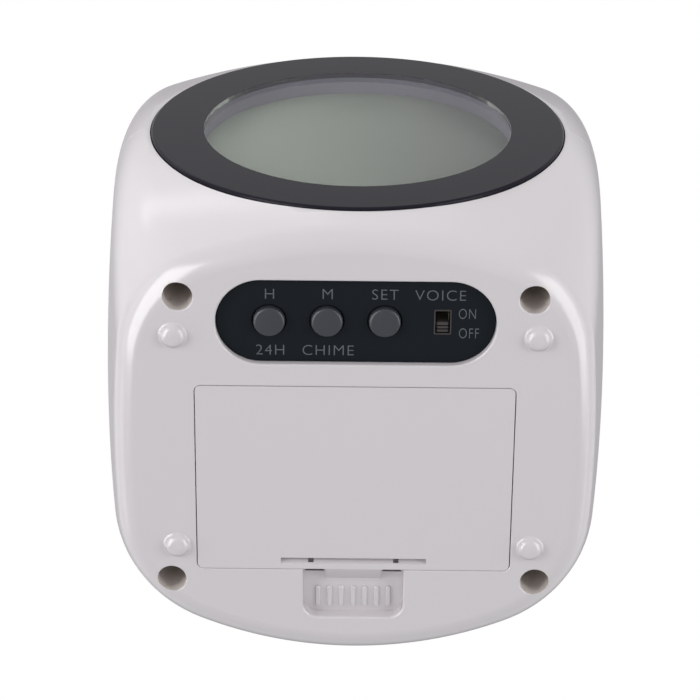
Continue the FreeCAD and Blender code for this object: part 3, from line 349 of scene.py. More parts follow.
# %% Shared places
PLAY = 0.2  # gap round a piece in its opening
RIB = 1.2  # walls of the boxes inside the shell
TOWERS = [(28.9, -32.2), (30.8, 20.7)]
TOWER_RADIUS = 3.7
TOWER_BORE = 2.45
TOWER_TOP = 36.0
TOWER_WEB = 3.0
FEET = [(29.75, -25.3), (29.75, 14.0)]
FOOT_RADIUS = 2.2
RING_RADIUS = 35.7
RING_FRONT = LAND - 0.5
RING_BACK = RING_FRONT + 1.5
WINDOW = 26.6
SHROUD = 27.9
GLASS = RING_FRONT + 4.5
STRIP_Y = -27.7
STRIP = (45.7, 15.0)
PANEL = FOOT + 1.0
DOOR = (53.0, 34.8)
DOOR_Y = 1.2
DOOR_REAR = DOOR_Y + DOOR[1] / 2
DOOR_FRONT = DOOR_Y - DOOR[1] / 2
RECESS = (17.0, 9.4)
RECESS_DEPTH = 2.2
TONGUE_WIDTH = 9.4
BAY = (25.1, 16.0)  # half sizes of the room for the cells
BAY_ROOF = 13.9
TAB_X = 15.0  # the door's tabs stand this far from the middle


def both(places):
    """Each place on the right and its twin on the left."""
    return [(side * x, y) for x, y in places for side in (1, -1)]


def recess_outline(grow):
    """Finger recess behind the door: square in front, rounded at the rear corners."""
    corner = 2.6 + grow
    half = RECESS[0] / 2 + grow
    rear = DOOR_REAR + RECESS[1] + grow
    outline = [(-half, DOOR_REAR - 0.1), (half, DOOR_REAR - 0.1)]
    for sign, start in ((1, 0), (-1, 90)):
        for i in range(9):
            turn = math.radians(start + 90 * i / 8)
            outline.append((sign * (half - corner) + corner * math.cos(turn),
                            rear - corner + corner * math.sin(turn)))
    return outline


print("door", DOOR, "mm, strip", STRIP, "mm, ring", 2 * RING_RADIUS, "mm across")


# %% [markdown]
# ### The lower shell
# Towers for the screws, the box round the cells and the box of the finger recess are added to
# the half shell. Then the openings are cut: the round seat of the ring, the strip, the door with
# the room for the cells, the recess with its two latch slots, and the screw wells.

# %% Lower shell
def display_seat(low, high):
    """Cutting tools for the flat land in front and the holes for the ring and its tube."""
    return [brick((-60, -60, low), (60, LAND, high)),
            drum_forward(RING_RADIUS + PLAY, LAND - 5, RING_BACK),
            drum_forward(SHROUD + PLAY, LAND - 5, LAND + 8)]


def lower_shell():
    shell = half_shell("lower_shell", 1)
    solids = [
        brick((-BAY[0] - RIB, DOOR_Y - BAY[1] - RIB, FLOOR - 1),
              (BAY[0] + RIB, DOOR_Y + BAY[1] + RIB, BAY_ROOF + RIB)),
        brick((-RECESS[0] / 2 - RIB, DOOR_REAR, FLOOR - 1),
              (RECESS[0] / 2 + RIB, DOOR_REAR + RECESS[1] + RIB, FOOT + RECESS_DEPTH + RIB))]
    solids += [drum(TOWER_RADIUS, FLOOR + 6, TOWER_TOP, x, y) for x, y in both(TOWERS)]
    solids += [drum(TOWER_BORE + 0.5, FLOOR - 1, FLOOR + 7, x, y) for x, y in both(TOWERS)]
    boolean(shell, "UNION", solids)
    cuts = display_seat(-5, 60) + [
        pocket(lambda grow: rounded(STRIP[0] / 2 + grow, STRIP[1] / 2 + grow, STRIP[1] / 2 + grow,
                                    0, STRIP_Y, 16), FOOT, 5, 0.35),
        pocket(lambda grow: rounded(DOOR[0] / 2 + grow, DOOR[1] / 2 + grow, 1.2 + grow, 0, DOOR_Y),
               FOOT, FLOOR, 0.2),
        brick((-BAY[0], DOOR_Y - BAY[1], 0), (BAY[0], DOOR_Y + BAY[1], BAY_ROOF)),
        pocket(recess_outline, FOOT, FOOT + RECESS_DEPTH, 0.4)]
    for side in (1, -1):
        slot = side * (TONGUE_WIDTH + RECESS[0]) / 4
        half = (RECESS[0] - TONGUE_WIDTH) / 4 - 0.3
        cuts.append(brick((slot - half, DOOR_REAR, 0), (slot + half, DOOR_REAR + 1.5, 9)))
        cuts.append(brick((slot - half, DOOR_REAR - 0.1, FOOT + RECESS_DEPTH + 0.3),
                          (slot + half, DOOR_REAR + 3.5, 9)))
        cuts.append(brick((side * TAB_X - 3.2, DOOR_FRONT - 2.4, FLOOR),
                          (side * TAB_X + 3.2, DOOR_FRONT + 2.4, FLOOR + 2.5)))
    for x, y in both(TOWERS):
        cuts.append(pocket(lambda grow: circle(TOWER_BORE + grow, 48, x, y), FOOT,
                           TOWER_TOP - TOWER_WEB, 0.25))
        cuts.append(drum(1.5, TOWER_TOP - 5, TOWER_TOP + 2, x, y, 24))
    boolean(shell, "DIFFERENCE", cuts)
    return smooth(shell)


def paint_bore_shade(shell):
    """The screw wells keep a duller plastic than the polished outside, tinted warmer: a painted warm shade
    for the light bounced round inside them.
    """
    shell.data.materials.clear()
    shell.data.materials.append(CASE)
    shell.data.materials.append(BORE_SHADE)
    for face in shell.data.polygons:
        x, y, z = face.center / MM
        near = min(math.hypot(x - a, y - b) for a, b in both(TOWERS))
        if near < TOWER_BORE + 0.02 and z > FOOT + 0.4:
            face.material_index = 1


print("the screw wells are", TOWER_TOP - TOWER_WEB - FOOT, "mm deep")


# %% [markdown]
# ### The upper shell
# The upper shell is the same half shell turned over. Its back wall has five slots in front of
# the speaker, each as long as the speaker's round opening lets it be, and clips that hold it.

# %% Upper shell
SPEAKER_RISE = 60.0
SLOTS = 5
SLOT_PITCH = 4.6
SLOT_WIDTH = 1.8
SPEAKER_OPENING = 12.0
CLIP = 14.2  # the speaker's clips stand this far from its middle
TALK_RADIUS = 22.0


def upper_shell():
    shell = half_shell("upper_shell", 0)
    flip = Matrix.Translation((0, 0, 2 * MIDDLE * MM)) @ Matrix.Scale(-1, 4, (0, 0, 1))
    shell.data.transform(flip)
    tidy_normals(shell)
    solids = [drum(3.1, TOWER_TOP, TOP - 1, x, y, 32) for x, y in both(TOWERS)]
    for x, z in ((CLIP, 0), (-CLIP, 0), (0, CLIP), (0, -CLIP)):
        wide, tall = (1.0, 3.5) if x else (3.5, 1.0)
        middle = SPEAKER_RISE + z
        outline = case_outline(middle, 1)
        reach = outline[len(outline) // 2][1] - 1.9
        solids.append(brick((x - wide, 32.0, middle - tall), (x + wide, reach, middle + tall)))
    boolean(shell, "UNION", solids)
    cuts = display_seat(30, 100) + [
        pocket(lambda grow: circle(TALK_RADIUS + PLAY + grow, 128), TOP, TOP - 4, 0.35)]
    for i in range(SLOTS):
        rise = (i - (SLOTS - 1) / 2) * SLOT_PITCH
        half = math.sqrt(SPEAKER_OPENING ** 2 - rise ** 2)
        outline = rounded(half, SLOT_WIDTH / 2, SLOT_WIDTH / 2, 0, 0, 6)
        rings = [[(x, y, SPEAKER_RISE + rise + z) for x, z in outline] for y in (33.0, 50.0)]
        cuts.append(banded("slot", rings))
    boolean(shell, "DIFFERENCE", cuts)
    return smooth(shell)


print(SLOTS, "speaker slots,", SLOT_PITCH, "mm apart")


# %% [markdown]
# ## Turned pieces by Geometry Nodes
# Ring, window, buttons and feet are all a profile swept round an axis. A circle curve is the
# path, and Curve to Mesh sweeps the profile, drawn as a chain of edges, along it. One tree does
# this for every turned piece, with the number of steps and the finish as inputs.

# %% Turning tree
def plug(tree, socket, value):
    """Gives an input its value, or a link where the value is the output of another node."""
    if isinstance(value, bpy.types.NodeSocket):
        tree.links.new(value, socket)
    else:
        socket.default_value = value


def feed(tree, node, **inputs):
    """Plugs values and outputs into the inputs that they are named after."""
    for label, value in inputs.items():
        plug(tree, node.inputs[label.replace("_", " ")], value)
    return node


def add(tree, kind, **inputs):
    return feed(tree, tree.nodes.new(kind), **inputs)


def geometry_tree(name, label, kind):
    """A tree with geometry and a material as inputs, and between them one more of this kind."""
    tree = bpy.data.node_groups.new(name, "GeometryNodeTree")
    for socket, of_kind in (("Geometry", "Geometry"), (label, kind), ("Material", "Material")):
        tree.interface.new_socket(socket, in_out="INPUT", socket_type="NodeSocket" + of_kind)
    tree.interface.new_socket("Geometry", in_out="OUTPUT", socket_type="NodeSocketGeometry")
    return tree, tree.nodes.new("NodeGroupInput"), tree.nodes.new("NodeGroupOutput")


def end_in_material(tree, geometry, source, sink):
    """Makes the copies real and paints them, as the last step of a tree."""
    real = add(tree, "GeometryNodeRealizeInstances", Geometry=geometry)
    paint = add(tree, "GeometryNodeSetMaterial", Geometry=real.outputs["Geometry"],
                Material=source.outputs["Material"])
    tree.links.new(paint.outputs["Geometry"], sink.inputs["Geometry"])


def turning_tree():
    tree, source, sink = geometry_tree("turning", "Steps", "Int")
    profile = add(tree, "GeometryNodeMeshToCurve", Mesh=source.outputs["Geometry"])
    path = add(tree, "GeometryNodeCurvePrimitiveCircle", Radius=1e-5,
               Resolution=source.outputs["Steps"])
    sweep = add(tree, "GeometryNodeCurveToMesh", Curve=path.outputs["Curve"],
                Profile_Curve=profile.outputs["Curve"])
    weld = add(tree, "GeometryNodeMergeByDistance", Distance=2e-5, Geometry=sweep.outputs["Mesh"])
    end_in_material(tree, weld.outputs["Geometry"], source, sink)
    return tree


TURNING = turning_tree()
print("turning tree:", len(TURNING.nodes), "nodes")


def set_input(modifier, name, value):
    """A modifier's input is set by its socket's identifier, not by its name."""
    sockets = modifier.node_group.interface.items_tree
    socket = next(s for s in sockets if s.name == name and s.in_out == "INPUT")
    modifier[socket.identifier] = value


FILLET_STEPS = 4


def fillet(profile):
    """Rounds those corners of a profile that name a radius as their third value."""
    out = []
    for i, point in enumerate(profile):
        size = point[2] if len(point) > 2 else 0
        if not size:
            out.append(Vector(point[:2]))
            continue
        here = Vector(point[:2])
        back = (Vector(profile[i - 1][:2]) - here).normalized()
        ahead = (Vector(profile[(i + 1) % len(profile)][:2]) - here).normalized()
        half = back.angle(ahead) / 2
        reach = size / math.tan(half)
        centre = here + (back + ahead).normalized() * (size / math.sin(half))
        start, end = here + back * reach - centre, here + ahead * reach - centre
        for k in range(FILLET_STEPS + 1):
            out.append(centre + start.slerp(end, k / FILLET_STEPS).normalized() * size)
    return out


def turned(name, profile, material, steps=128, axis="Z", at=(0, 0, 0), angle=25):
    """A turned piece from pairs of radius and height, rounded where a third value is given."""
    points = fillet(profile)
    mesh = bpy.data.meshes.new(name)
    chain = [(i, i + 1) for i in range(len(points) - 1)]
    mesh.from_pydata([(p.x * MM, -p.y * MM, 0) for p in points], chain, [])
    obj = placed(name, mesh)
    modifier = obj.modifiers.new("turning", "NODES")
    modifier.node_group = TURNING
    set_input(modifier, "Steps", steps)
    set_input(modifier, "Material", material)
    bake(obj)
    turn = Matrix.Rotation(math.radians(-90), 4, "X") if axis == "Y" else Matrix.Identity(4)
    obj.data.transform(Matrix.Translation([c * MM for c in at]) @ turn)
    tidy_normals(obj)
    return smooth(obj, angle)


# %% [markdown]
# ## Finishes
# Moulded plastic is never one flat colour: it has a faint cloudiness from the melt and a very
# fine orange-peel in its gloss. One node group makes both for every plastic here, each with its
# own scale and strength.

# %% Shader groups
def shader_group(name, inputs, outputs):
    tree = bpy.data.node_groups.new(name, "ShaderNodeTree")
    for label, kind, value in inputs:
        socket = tree.interface.new_socket(label, in_out="INPUT", socket_type=kind)
        socket.default_value = value
    for label, kind in outputs:
        tree.interface.new_socket(label, in_out="OUTPUT", socket_type=kind)
    return tree, tree.nodes.new("NodeGroupInput"), tree.nodes.new("NodeGroupOutput")


def calculate(tree, operation, *values):
    """The output of a maths node, with numbers or outputs as its values."""
    node = tree.nodes.new("ShaderNodeMath")
    node.operation = operation
    for socket, value in zip(node.inputs, values):
        plug(tree, socket, value)
    return node.outputs[0]


def moulding_group():
    """Cloudy tint, uneven roughness and a fine height for moulded plastic."""
    tree, source, sink = shader_group("moulded_surface", [
        ("Colour", "NodeSocketColor", (1, 1, 1, 1)), ("Clouds", "NodeSocketFloat", 0.03),
        ("Roughness", "NodeSocketFloat", 0.3), ("Grain Scale", "NodeSocketFloat", 4000.0)],
        [("Colour", "NodeSocketColor"), ("Roughness", "NodeSocketFloat"), ("Height", "NodeSocketFloat")])
    place = tree.nodes.new("ShaderNodeTexCoord").outputs["Object"]
    clouds = add(tree, "ShaderNodeTexNoise", Scale=60, Detail=3, Vector=place)
    spread = calculate(tree, "MULTIPLY_ADD", clouds.outputs["Fac"], source.outputs["Clouds"], 1.0)
    shade = tree.nodes.new("ShaderNodeVectorMath")
    shade.operation = "SCALE"
    feed(tree, shade, Vector=source.outputs["Colour"], Scale=spread)
    grain = add(tree, "ShaderNodeTexNoise", Scale=source.outputs["Grain Scale"], Detail=1, Vector=place)
    feed(tree, sink, Colour=shade.outputs[0], Height=grain.outputs["Fac"],
         Roughness=calculate(tree, "MULTIPLY", source.outputs["Roughness"], spread))
    return tree


MOULDING = moulding_group()
print("moulded surface:", len(MOULDING.nodes), "nodes")


# %% [markdown]
# ### From group to material
# A plastic is a Principled shader fed by the group. `clouds` is how much its tint varies, `grain`
# the scale of the fine relief, `bump` its strength and `shine` the strength of its reflections.
# Seen edge-on, a glossy wall mirrors the white room and its outline is lost. The rim of the case
# is painted a plain grey instead: a painted dark reflection, as of the dark cards beside a product in a
# studio.

# %% Material builders
def mix_shaders(tree, factor, first, second, end="Material Output"):
    """Ends a tree in the first shader where the factor is 0, and in the second where it is 1."""
    mix = tree.nodes.new("ShaderNodeMixShader")
    for socket, source in zip(mix.inputs, (factor, first, second)):
        tree.links.new(source, socket)
    tree.links.new(mix.outputs[0], tree.nodes[end].inputs["Surface"])


def srgb(red, green, blue):
    """A colour read as it shows on a screen, 0 to 255, as the linear value that nodes want."""
    shares = [c / 255 for c in (red, green, blue)]
    linear = [((c + 0.055) / 1.055) ** 2.4 if c > 0.04 else c / 12.92 for c in shares]
    return (*linear, 1.0)


def principled(name):
    material = bpy.data.materials.new(name)
    material.use_nodes = True
    return material, material.node_tree, material.node_tree.nodes["Principled BSDF"]


def plastic(name, colour, roughness, clouds=0.03, grain=4000.0, bump=0.02, shine=0.5):
    material, tree, shader = principled(name)
    surface = tree.nodes.new("ShaderNodeGroup")
    surface.node_tree = MOULDING
    for socket, value in zip(surface.inputs, (colour, clouds, roughness, grain)):
        socket.default_value = value
    relief = add(tree, "ShaderNodeBump", Strength=bump, Distance=0.05 * MM,
                 Height=surface.outputs["Height"])
    feed(tree, shader, Base_Color=surface.outputs["Colour"], Roughness=surface.outputs["Roughness"],
         Normal=relief.outputs["Normal"], IOR=1.5, Specular_IOR_Level=shine)
    return material


def painted_grey_rim(material, colour):
    """Paints the surface a plain colour where it is seen edge-on: a painted dark reflection."""
    tree = material.node_tree
    facing = tree.nodes.new("ShaderNodeLayerWeight")
    rim = add(tree, "ShaderNodeMapRange", Value=facing.outputs["Facing"], From_Min=0.55, From_Max=0.88)
    rim.interpolation_type = "SMOOTHSTEP"
    flat = add(tree, "ShaderNodeBsdfDiffuse", Color=colour)
    mix_shaders(tree, rim.outputs["Result"], tree.nodes["Principled BSDF"].outputs[0], flat.outputs[0])


def metal(name, colour, roughness):
    material = plastic(name, colour, roughness, 0.08, 2500.0, 0.05)
    material.node_tree.nodes["Principled BSDF"].inputs["Metallic"].default_value = 1.0
    return material


# %% [markdown]
# ### The finishes
# Outside, the case is polished and the strip, its buttons and the inside of the screw wells are
# duller. The colours behind them are those of the usual parts: green boards, black resin chips,
# bright contacts.

# %% Materials of the pieces
CASE = plastic("case_white", srgb(212, 207, 210), 0.18, 0.02, 900.0, 0.02, 0.45)
# The grey of the case's rim is a painted dark reflection, seen where the case turns edge-on.
painted_grey_rim(CASE, srgb(186, 182, 185))
# The warm tint of the screw wells is painted shade, for the light bounced round inside them.
BORE_SHADE = plastic("case_bore_white", srgb(210, 202, 197), 0.45, 0.04, 2500.0, 0.1)
RING = plastic("ring_black", srgb(31, 29, 37), 0.2, 0.03, 4000.0, 0.0, 0.06)
SHROUD_GREY = plastic("shroud_grey", srgb(84, 83, 92), 0.3, 0.04, shine=0.1)
PANEL_DARK = plastic("panel_dark", srgb(21, 25, 30), 0.45, 0.12, 2500.0, 0.15, 0.06)
BUTTON_GREY = plastic("button_grey", srgb(51, 54, 60), 0.34, 0.08, 3500.0, 0.12, 0.3)
TALK_GREY = plastic("talk_silver", srgb(176, 178, 184), 0.3, 0.03, 3000.0, 0.05)
LEGEND = plastic("legend_ink", srgb(96, 99, 103), 0.6, 0.1, shine=0.1)
GUIDE = plastic("light_guide_clear", srgb(205, 212, 210), 0.1, 0.02)
INNER_WHITE = plastic("frame_white", srgb(214, 213, 208), 0.5, 0.03)
RUBBER = plastic("contact_rubber", srgb(120, 122, 128), 0.8, 0.2, 6000.0, 0.3)
LAMINATE = plastic("board_green", srgb(30, 84, 52), 0.35, 0.25, 1800.0, 0.2)
RESIN = plastic("black_resin", srgb(24, 24, 26), 0.4, 0.15)
KNOB = plastic("knob_grey", srgb(62, 58, 58), 0.5, 0.08, shine=0.2)
SWITCH_RIM = plastic("switch_rim_grey", srgb(60, 55, 55), 0.5, 0.08, shine=0.2)
JACKET = plastic("cell_jacket", srgb(40, 70, 110), 0.3, 0.03)
MYLAR = plastic("speaker_film", srgb(60, 58, 56), 0.25, 0.1)
FERRITE = plastic("magnet_iron", srgb(64, 62, 64), 0.6, 0.3, 2500.0, 0.3)
RIBBON = plastic("ribbon_film", srgb(196, 190, 176), 0.35, 0.05)
STEEL = metal("plated_steel", srgb(188, 186, 182), 0.32)
NICKEL = metal("bright_metal", srgb(214, 208, 196), 0.22)
print(len(bpy.data.materials), "materials so far")


# %% [markdown]
# The window is clear acrylic. Path traced glass throws a dark shadow on what lies behind it,
# because no lamp is found through it, so it lets shadow rays pass. The display behind it is
# blank: grey-green reflective glass, painted lighter on the left and darker towards the right, as painted
# light falling from the left.

# %% Window and display materials
def clear_plastic():
    material, tree, shader = principled("clear_acrylic")
    feed(tree, shader, Base_Color=(0.97, 0.98, 0.98, 1), Transmission_Weight=1.0, IOR=1.12,
         Roughness=0.0)
    paths = tree.nodes.new("ShaderNodeLightPath")
    open_way = tree.nodes.new("ShaderNodeBsdfTransparent")
    mix_shaders(tree, paths.outputs["Is Shadow Ray"], shader.outputs[0], open_way.outputs[0])
    return material


def display_glass():
    """Blank display: painted light, lighter on the left of the glass and darker on the right."""
    # The lighter left colour is painted light and the darker right one painted shade, as if lit from the
    # left.
    left, right = srgb(108, 113, 105), srgb(67, 70, 67)
    material = plastic("display_grey_green", left, 0.3, 0.04, 3000.0, 0.0, 0.05)
    tree = material.node_tree
    place = tree.nodes.new("ShaderNodeTexCoord")
    split = add(tree, "ShaderNodeSeparateXYZ", Vector=place.outputs["Object"])
    painted_light_falloff = add(tree, "ShaderNodeMapRange", Value=split.outputs["X"], From_Min=-WINDOW * MM,
                From_Max=WINDOW * MM)
    tint = tree.nodes.new("ShaderNodeMix")
    tint.data_type = "RGBA"
    feed(tree, tint, A=left, B=right, Factor=painted_light_falloff.outputs["Result"])
    surface = next(node for node in tree.nodes if node.type == "GROUP")
    feed(tree, surface, Colour=tint.outputs["Result"])
    return material


CLEAR = clear_plastic()
DISPLAY = display_glass()
print("window and display:", CLEAR.name, "and", DISPLAY.name)


# %% [markdown]
# ### Handing a piece over
# `finish` is called for every piece of the scene. A piece rides on a moving body of the CAD
# part and stands in for the CAD nodes that it replaces.

# %% Dress the shells
def finish(obj, material, body, slot, *nodes):
    """Gives a piece its finish, its place in the moving frame and the CAD nodes it stands for."""
    if material:
        obj.data.materials.clear()
        obj.data.materials.append(material)
    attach(obj, body)
    if nodes:
        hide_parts(*nodes)
    size = [round(d / MM, 1) for d in obj.dimensions]
    print(obj.name, "is", size, "mm with", len(obj.data.polygons), "faces")
    return obj


lower = lower_shell()
paint_bore_shade(lower)
finish(lower, None, "case", "case_plastic", "lower_case")
finish(upper_shell(), CASE, "case", "case_plastic", "upper_case")


# %% [markdown]
# ## The display
# Ring, window and tube are turned. The ring's outer edge is a soft round and the window lies
# flush in it. The grey tube behind the window leads the eye down to the display glass.

# %% Ring, window, tube and glass
SHARP = 0.03  # the round of an edge that looks sharp
AXIS = (0, 0, MIDDLE)
ring = turned("bezel_ring_turned", [
    (WINDOW, RING_FRONT, SHARP), (RING_RADIUS, RING_FRONT, 0.45), (RING_RADIUS, RING_BACK),
    (WINDOW, RING_BACK), (WINDOW, RING_FRONT + SHARP)], RING, 192, "Y", AXIS)
finish(ring, None, "case", "ring_plastic", "bezel_ring")
window = turned("window_lens_turned", [
    (0, RING_FRONT + 0.02), (WINDOW, RING_FRONT + 0.02, 0.02), (WINDOW, RING_BACK, 0.1), (0, RING_BACK)],
    CLEAR, 192, "Y", AXIS)
finish(window, None, "case", "clear_window", "window_lens")
tube = turned("display_tube", [
    (WINDOW, RING_BACK), (SHROUD, RING_BACK), (SHROUD, GLASS), (WINDOW, GLASS), (WINDOW, RING_BACK)],
    SHROUD_GREY, 192, "Y", AXIS)
finish(tube, None, "case", "grey_plastic", "display_shroud")


def display_panel():
    """Two panes, one behind the other. The front one has its front edge taken off."""
    outline, small = rounded(28.0, 27.0, 0.3, steps=3), rounded(27.9, 26.9, 0.3, steps=3)
    meeting = GLASS + 1.1
    front = banded("pane", [upright(small, GLASS), upright(outline, GLASS + 0.1),
                            upright(outline, meeting)])
    rear = banded("pane", [upright(small, meeting), upright(small, GLASS + 2.2)])
    return smooth(joined("display_panes", [front, rear]))


finish(display_panel(), DISPLAY, "case", "display_glass", "lcd_glass")
print("window is", 2 * WINDOW, "mm across")


# %% [markdown]
# ## The sunk control strip
# A dark stadium-shaped plate lies one millimetre under the base, with holes for three push
# buttons and a slot for the switch. Its legends are printed in grey, so they are letters raised
# by two hundredths of a millimetre.

# %% Control strip
PITCH = 9.4
BUTTON_RADIUS = 2.6
BUTTONS = (("hour", -1.5), ("minute", -0.5), ("mode", 0.5))
SWITCH_X = 1.5 * PITCH
SLOT_HALF = (1.2, 2.0)
HOOKS = ((22.8, 24.0, FLOOR + 1, 11.9), (20.2, 22.6, FLOOR + 1, 9.1), (22.0, 23.2, 10.7, 11.9))


def control_strip():
    def face(grow):
        return rounded(STRIP[0] / 2 - 0.1 + grow, STRIP[1] / 2 - 0.1 + grow,
                       STRIP[1] / 2 - 0.1 + grow, 0, STRIP_Y, 24)
    rings = [level(face(-0.2), PANEL), level(face(-0.06), PANEL + 0.06), level(face(0), PANEL + 0.2),
             level(face(0), FLOOR + 0.2)]
    plate = banded("control_strip", rings)
    flange = brick((-24.45, STRIP_Y - 9.1, FLOOR), (24.45, STRIP_Y + 9.1, FLOOR + 1.2))
    hooks = []
    for side in (1, -1):
        for near, far, low, high in HOOKS:
            hooks.append(brick((side * near, STRIP_Y - 2.5, low), (side * far, STRIP_Y + 2.5, high)))
    boolean(plate, "UNION", [flange] + hooks)
    cuts = []
    for _, place in BUTTONS:
        cuts.append(pocket(lambda grow: circle(BUTTON_RADIUS + PLAY + grow, 48, place * PITCH, STRIP_Y),
                           PANEL, PANEL + 6, 0.12))
    cuts.append(pocket(lambda grow: rounded(SLOT_HALF[0] + grow, SLOT_HALF[1] + grow, 0.1 + grow,
                                            SWITCH_X, STRIP_Y, 3), PANEL, PANEL + 6, 0.15))
    boolean(plate, "DIFFERENCE", cuts)
    return smooth(plate)


finish(control_strip(), PANEL_DARK, "case", "panel_plastic", "control_panel")


# %% [markdown]
# ### The push buttons
# Each button is a turned cap with a flange behind the strip that keeps it in. It rides on its
# own body, so that it moves when the pose presses it.

# %% Push buttons
def push_button(name, x):
    back = FLOOR + 1.3
    obj = turned(name + "_button_cap", [
        (0, PANEL - 0.9), (BUTTON_RADIUS, PANEL - 0.9, 0.5), (BUTTON_RADIUS, back),
        (BUTTON_RADIUS + 0.6, back), (BUTTON_RADIUS + 0.6, back + 0.7), (0, back + 0.7)],
        BUTTON_GREY, 64, "Z", (x, STRIP_Y, 0))
    return finish(obj, None, name + "_button_body", "button_plastic", name + "_button")


for name, place in BUTTONS:
    push_button(name, place * PITCH)


# %% [markdown]
# ### The switch
# The knob takes its place from the CAD node, and a thin lip frames the slot that it slides in.

# %% Switch knob
def switch_knob():
    """A block with two grooves across its top for the fingernail, at the off end of its slot."""
    low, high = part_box("switch_knob")
    low, high = [c / MM for c in low], [c / MM for c in high]
    middle = [(a + b) / 2 for a, b in zip(low, high)]
    half = [(b - a) / 2 for a, b in zip(low, high)]
    rings = [level(rounded(half[0] - 0.12, half[1] - 0.12, 0.1, middle[0], middle[1], 3), low[2]),
             level(rounded(half[0], half[1], 0.12, middle[0], middle[1], 3), low[2] + 0.12),
             level(rounded(half[0], half[1], 0.12, middle[0], middle[1], 3), high[2])]
    knob = banded("switch_knob_cap", rings)
    grooves = []
    for i in (-1, 1):
        y = middle[1] + i * half[1] / 3
        grooves.append(brick((low[0] - 1, y - 0.12, low[2] - 1), (high[0] + 1, y + 0.12, low[2] + 0.5)))
    boolean(knob, "DIFFERENCE", grooves)
    return smooth(knob)


finish(switch_knob(), KNOB, "switch_knob_body", "button_plastic", "switch_knob")


def switch_rim():
    """The lip that stands a tenth of a millimetre proud round the slot."""
    lip = banded("switch_rim", [level(rounded(1.4, 2.2, 0.2, SWITCH_X, STRIP_Y, 3), PANEL - 0.1),
                                level(rounded(1.45, 2.25, 0.25, SWITCH_X, STRIP_Y, 3), PANEL + 0.05)])
    hole = rounded(*SLOT_HALF, 0.1, SWITCH_X, STRIP_Y, 3)
    boolean(lip, "DIFFERENCE", [banded("hole", [level(hole, PANEL - 1), level(hole, PANEL + 1)])])
    return smooth(lip)


finish(switch_rim(), SWITCH_RIM, "case", "panel_plastic")


# %% [markdown]
# ### The legends
# The marks are generic ones. A text becomes a mesh first and is then turned over and set down
# on the strip. The two marks beside the switch are narrower.

# %% Printed legends
LETTER_SIZE = 2.691  # gives capitals 1.95 mm high
NARROW = 0.68


def legend(text, x, y, width=1.0):
    """Flat letters that read from below: the right of the text is +X and its top is -Y."""
    curve = bpy.data.curves.new("legend_" + text.replace("/", "_"), "FONT")
    curve.body = text
    curve.size = LETTER_SIZE * MM
    curve.space_character = 1.12
    curve.align_x = "CENTER"
    curve.align_y = "CENTER"
    curve.extrude = 0.02 * MM
    curve.offset = -0.035 * MM
    curve.resolution_u = 4
    draft = placed(curve.name, curve)
    bpy.context.view_layer.update()
    mesh = bpy.data.meshes.new_from_object(draft.evaluated_get(bpy.context.evaluated_depsgraph_get()))
    bpy.data.objects.remove(draft)
    obj = placed(curve.name, mesh)
    place = Matrix.Translation((x * MM, y * MM, PANEL * MM))
    obj.data.transform(place @ Matrix.Rotation(math.pi, 4, "X") @ Matrix.Diagonal((width, 1, 1, 1)))
    return finish(obj, LEGEND, "case", "button_plastic")


for text, x, y in (("H", -14.0, -32.35), ("M", -4.6, -32.4), ("SET", 4.7, -32.4),
                   ("VOICE", 13.7, -32.35), ("24H", -13.9, -22.3), ("CHIME", -4.5, -22.3)):
    legend(text, x, y)
for text, x, y in (("ON", 18.1, -29.1), ("OFF", 18.4, -25.6)):
    legend(text, x, y, NARROW)


# %% [markdown]
# ## The battery door
# A flat lid in a sunk frame. Close to its rear edge a long slit frees a thin beam that carries
# the latch tongue: a finger in the recess behind it presses the tongue forward and the lid
# swings out on the two tabs in front. The edges are slightly rounded, so that the joint round
# the lid catches a line of light.

# %% Battery door
SLIT = (24.6, 1.1)
BEAM = 1.0
DOT_X = 7.2  # two deep dots in the slit, left by the mould
DOT_HALF = 0.45


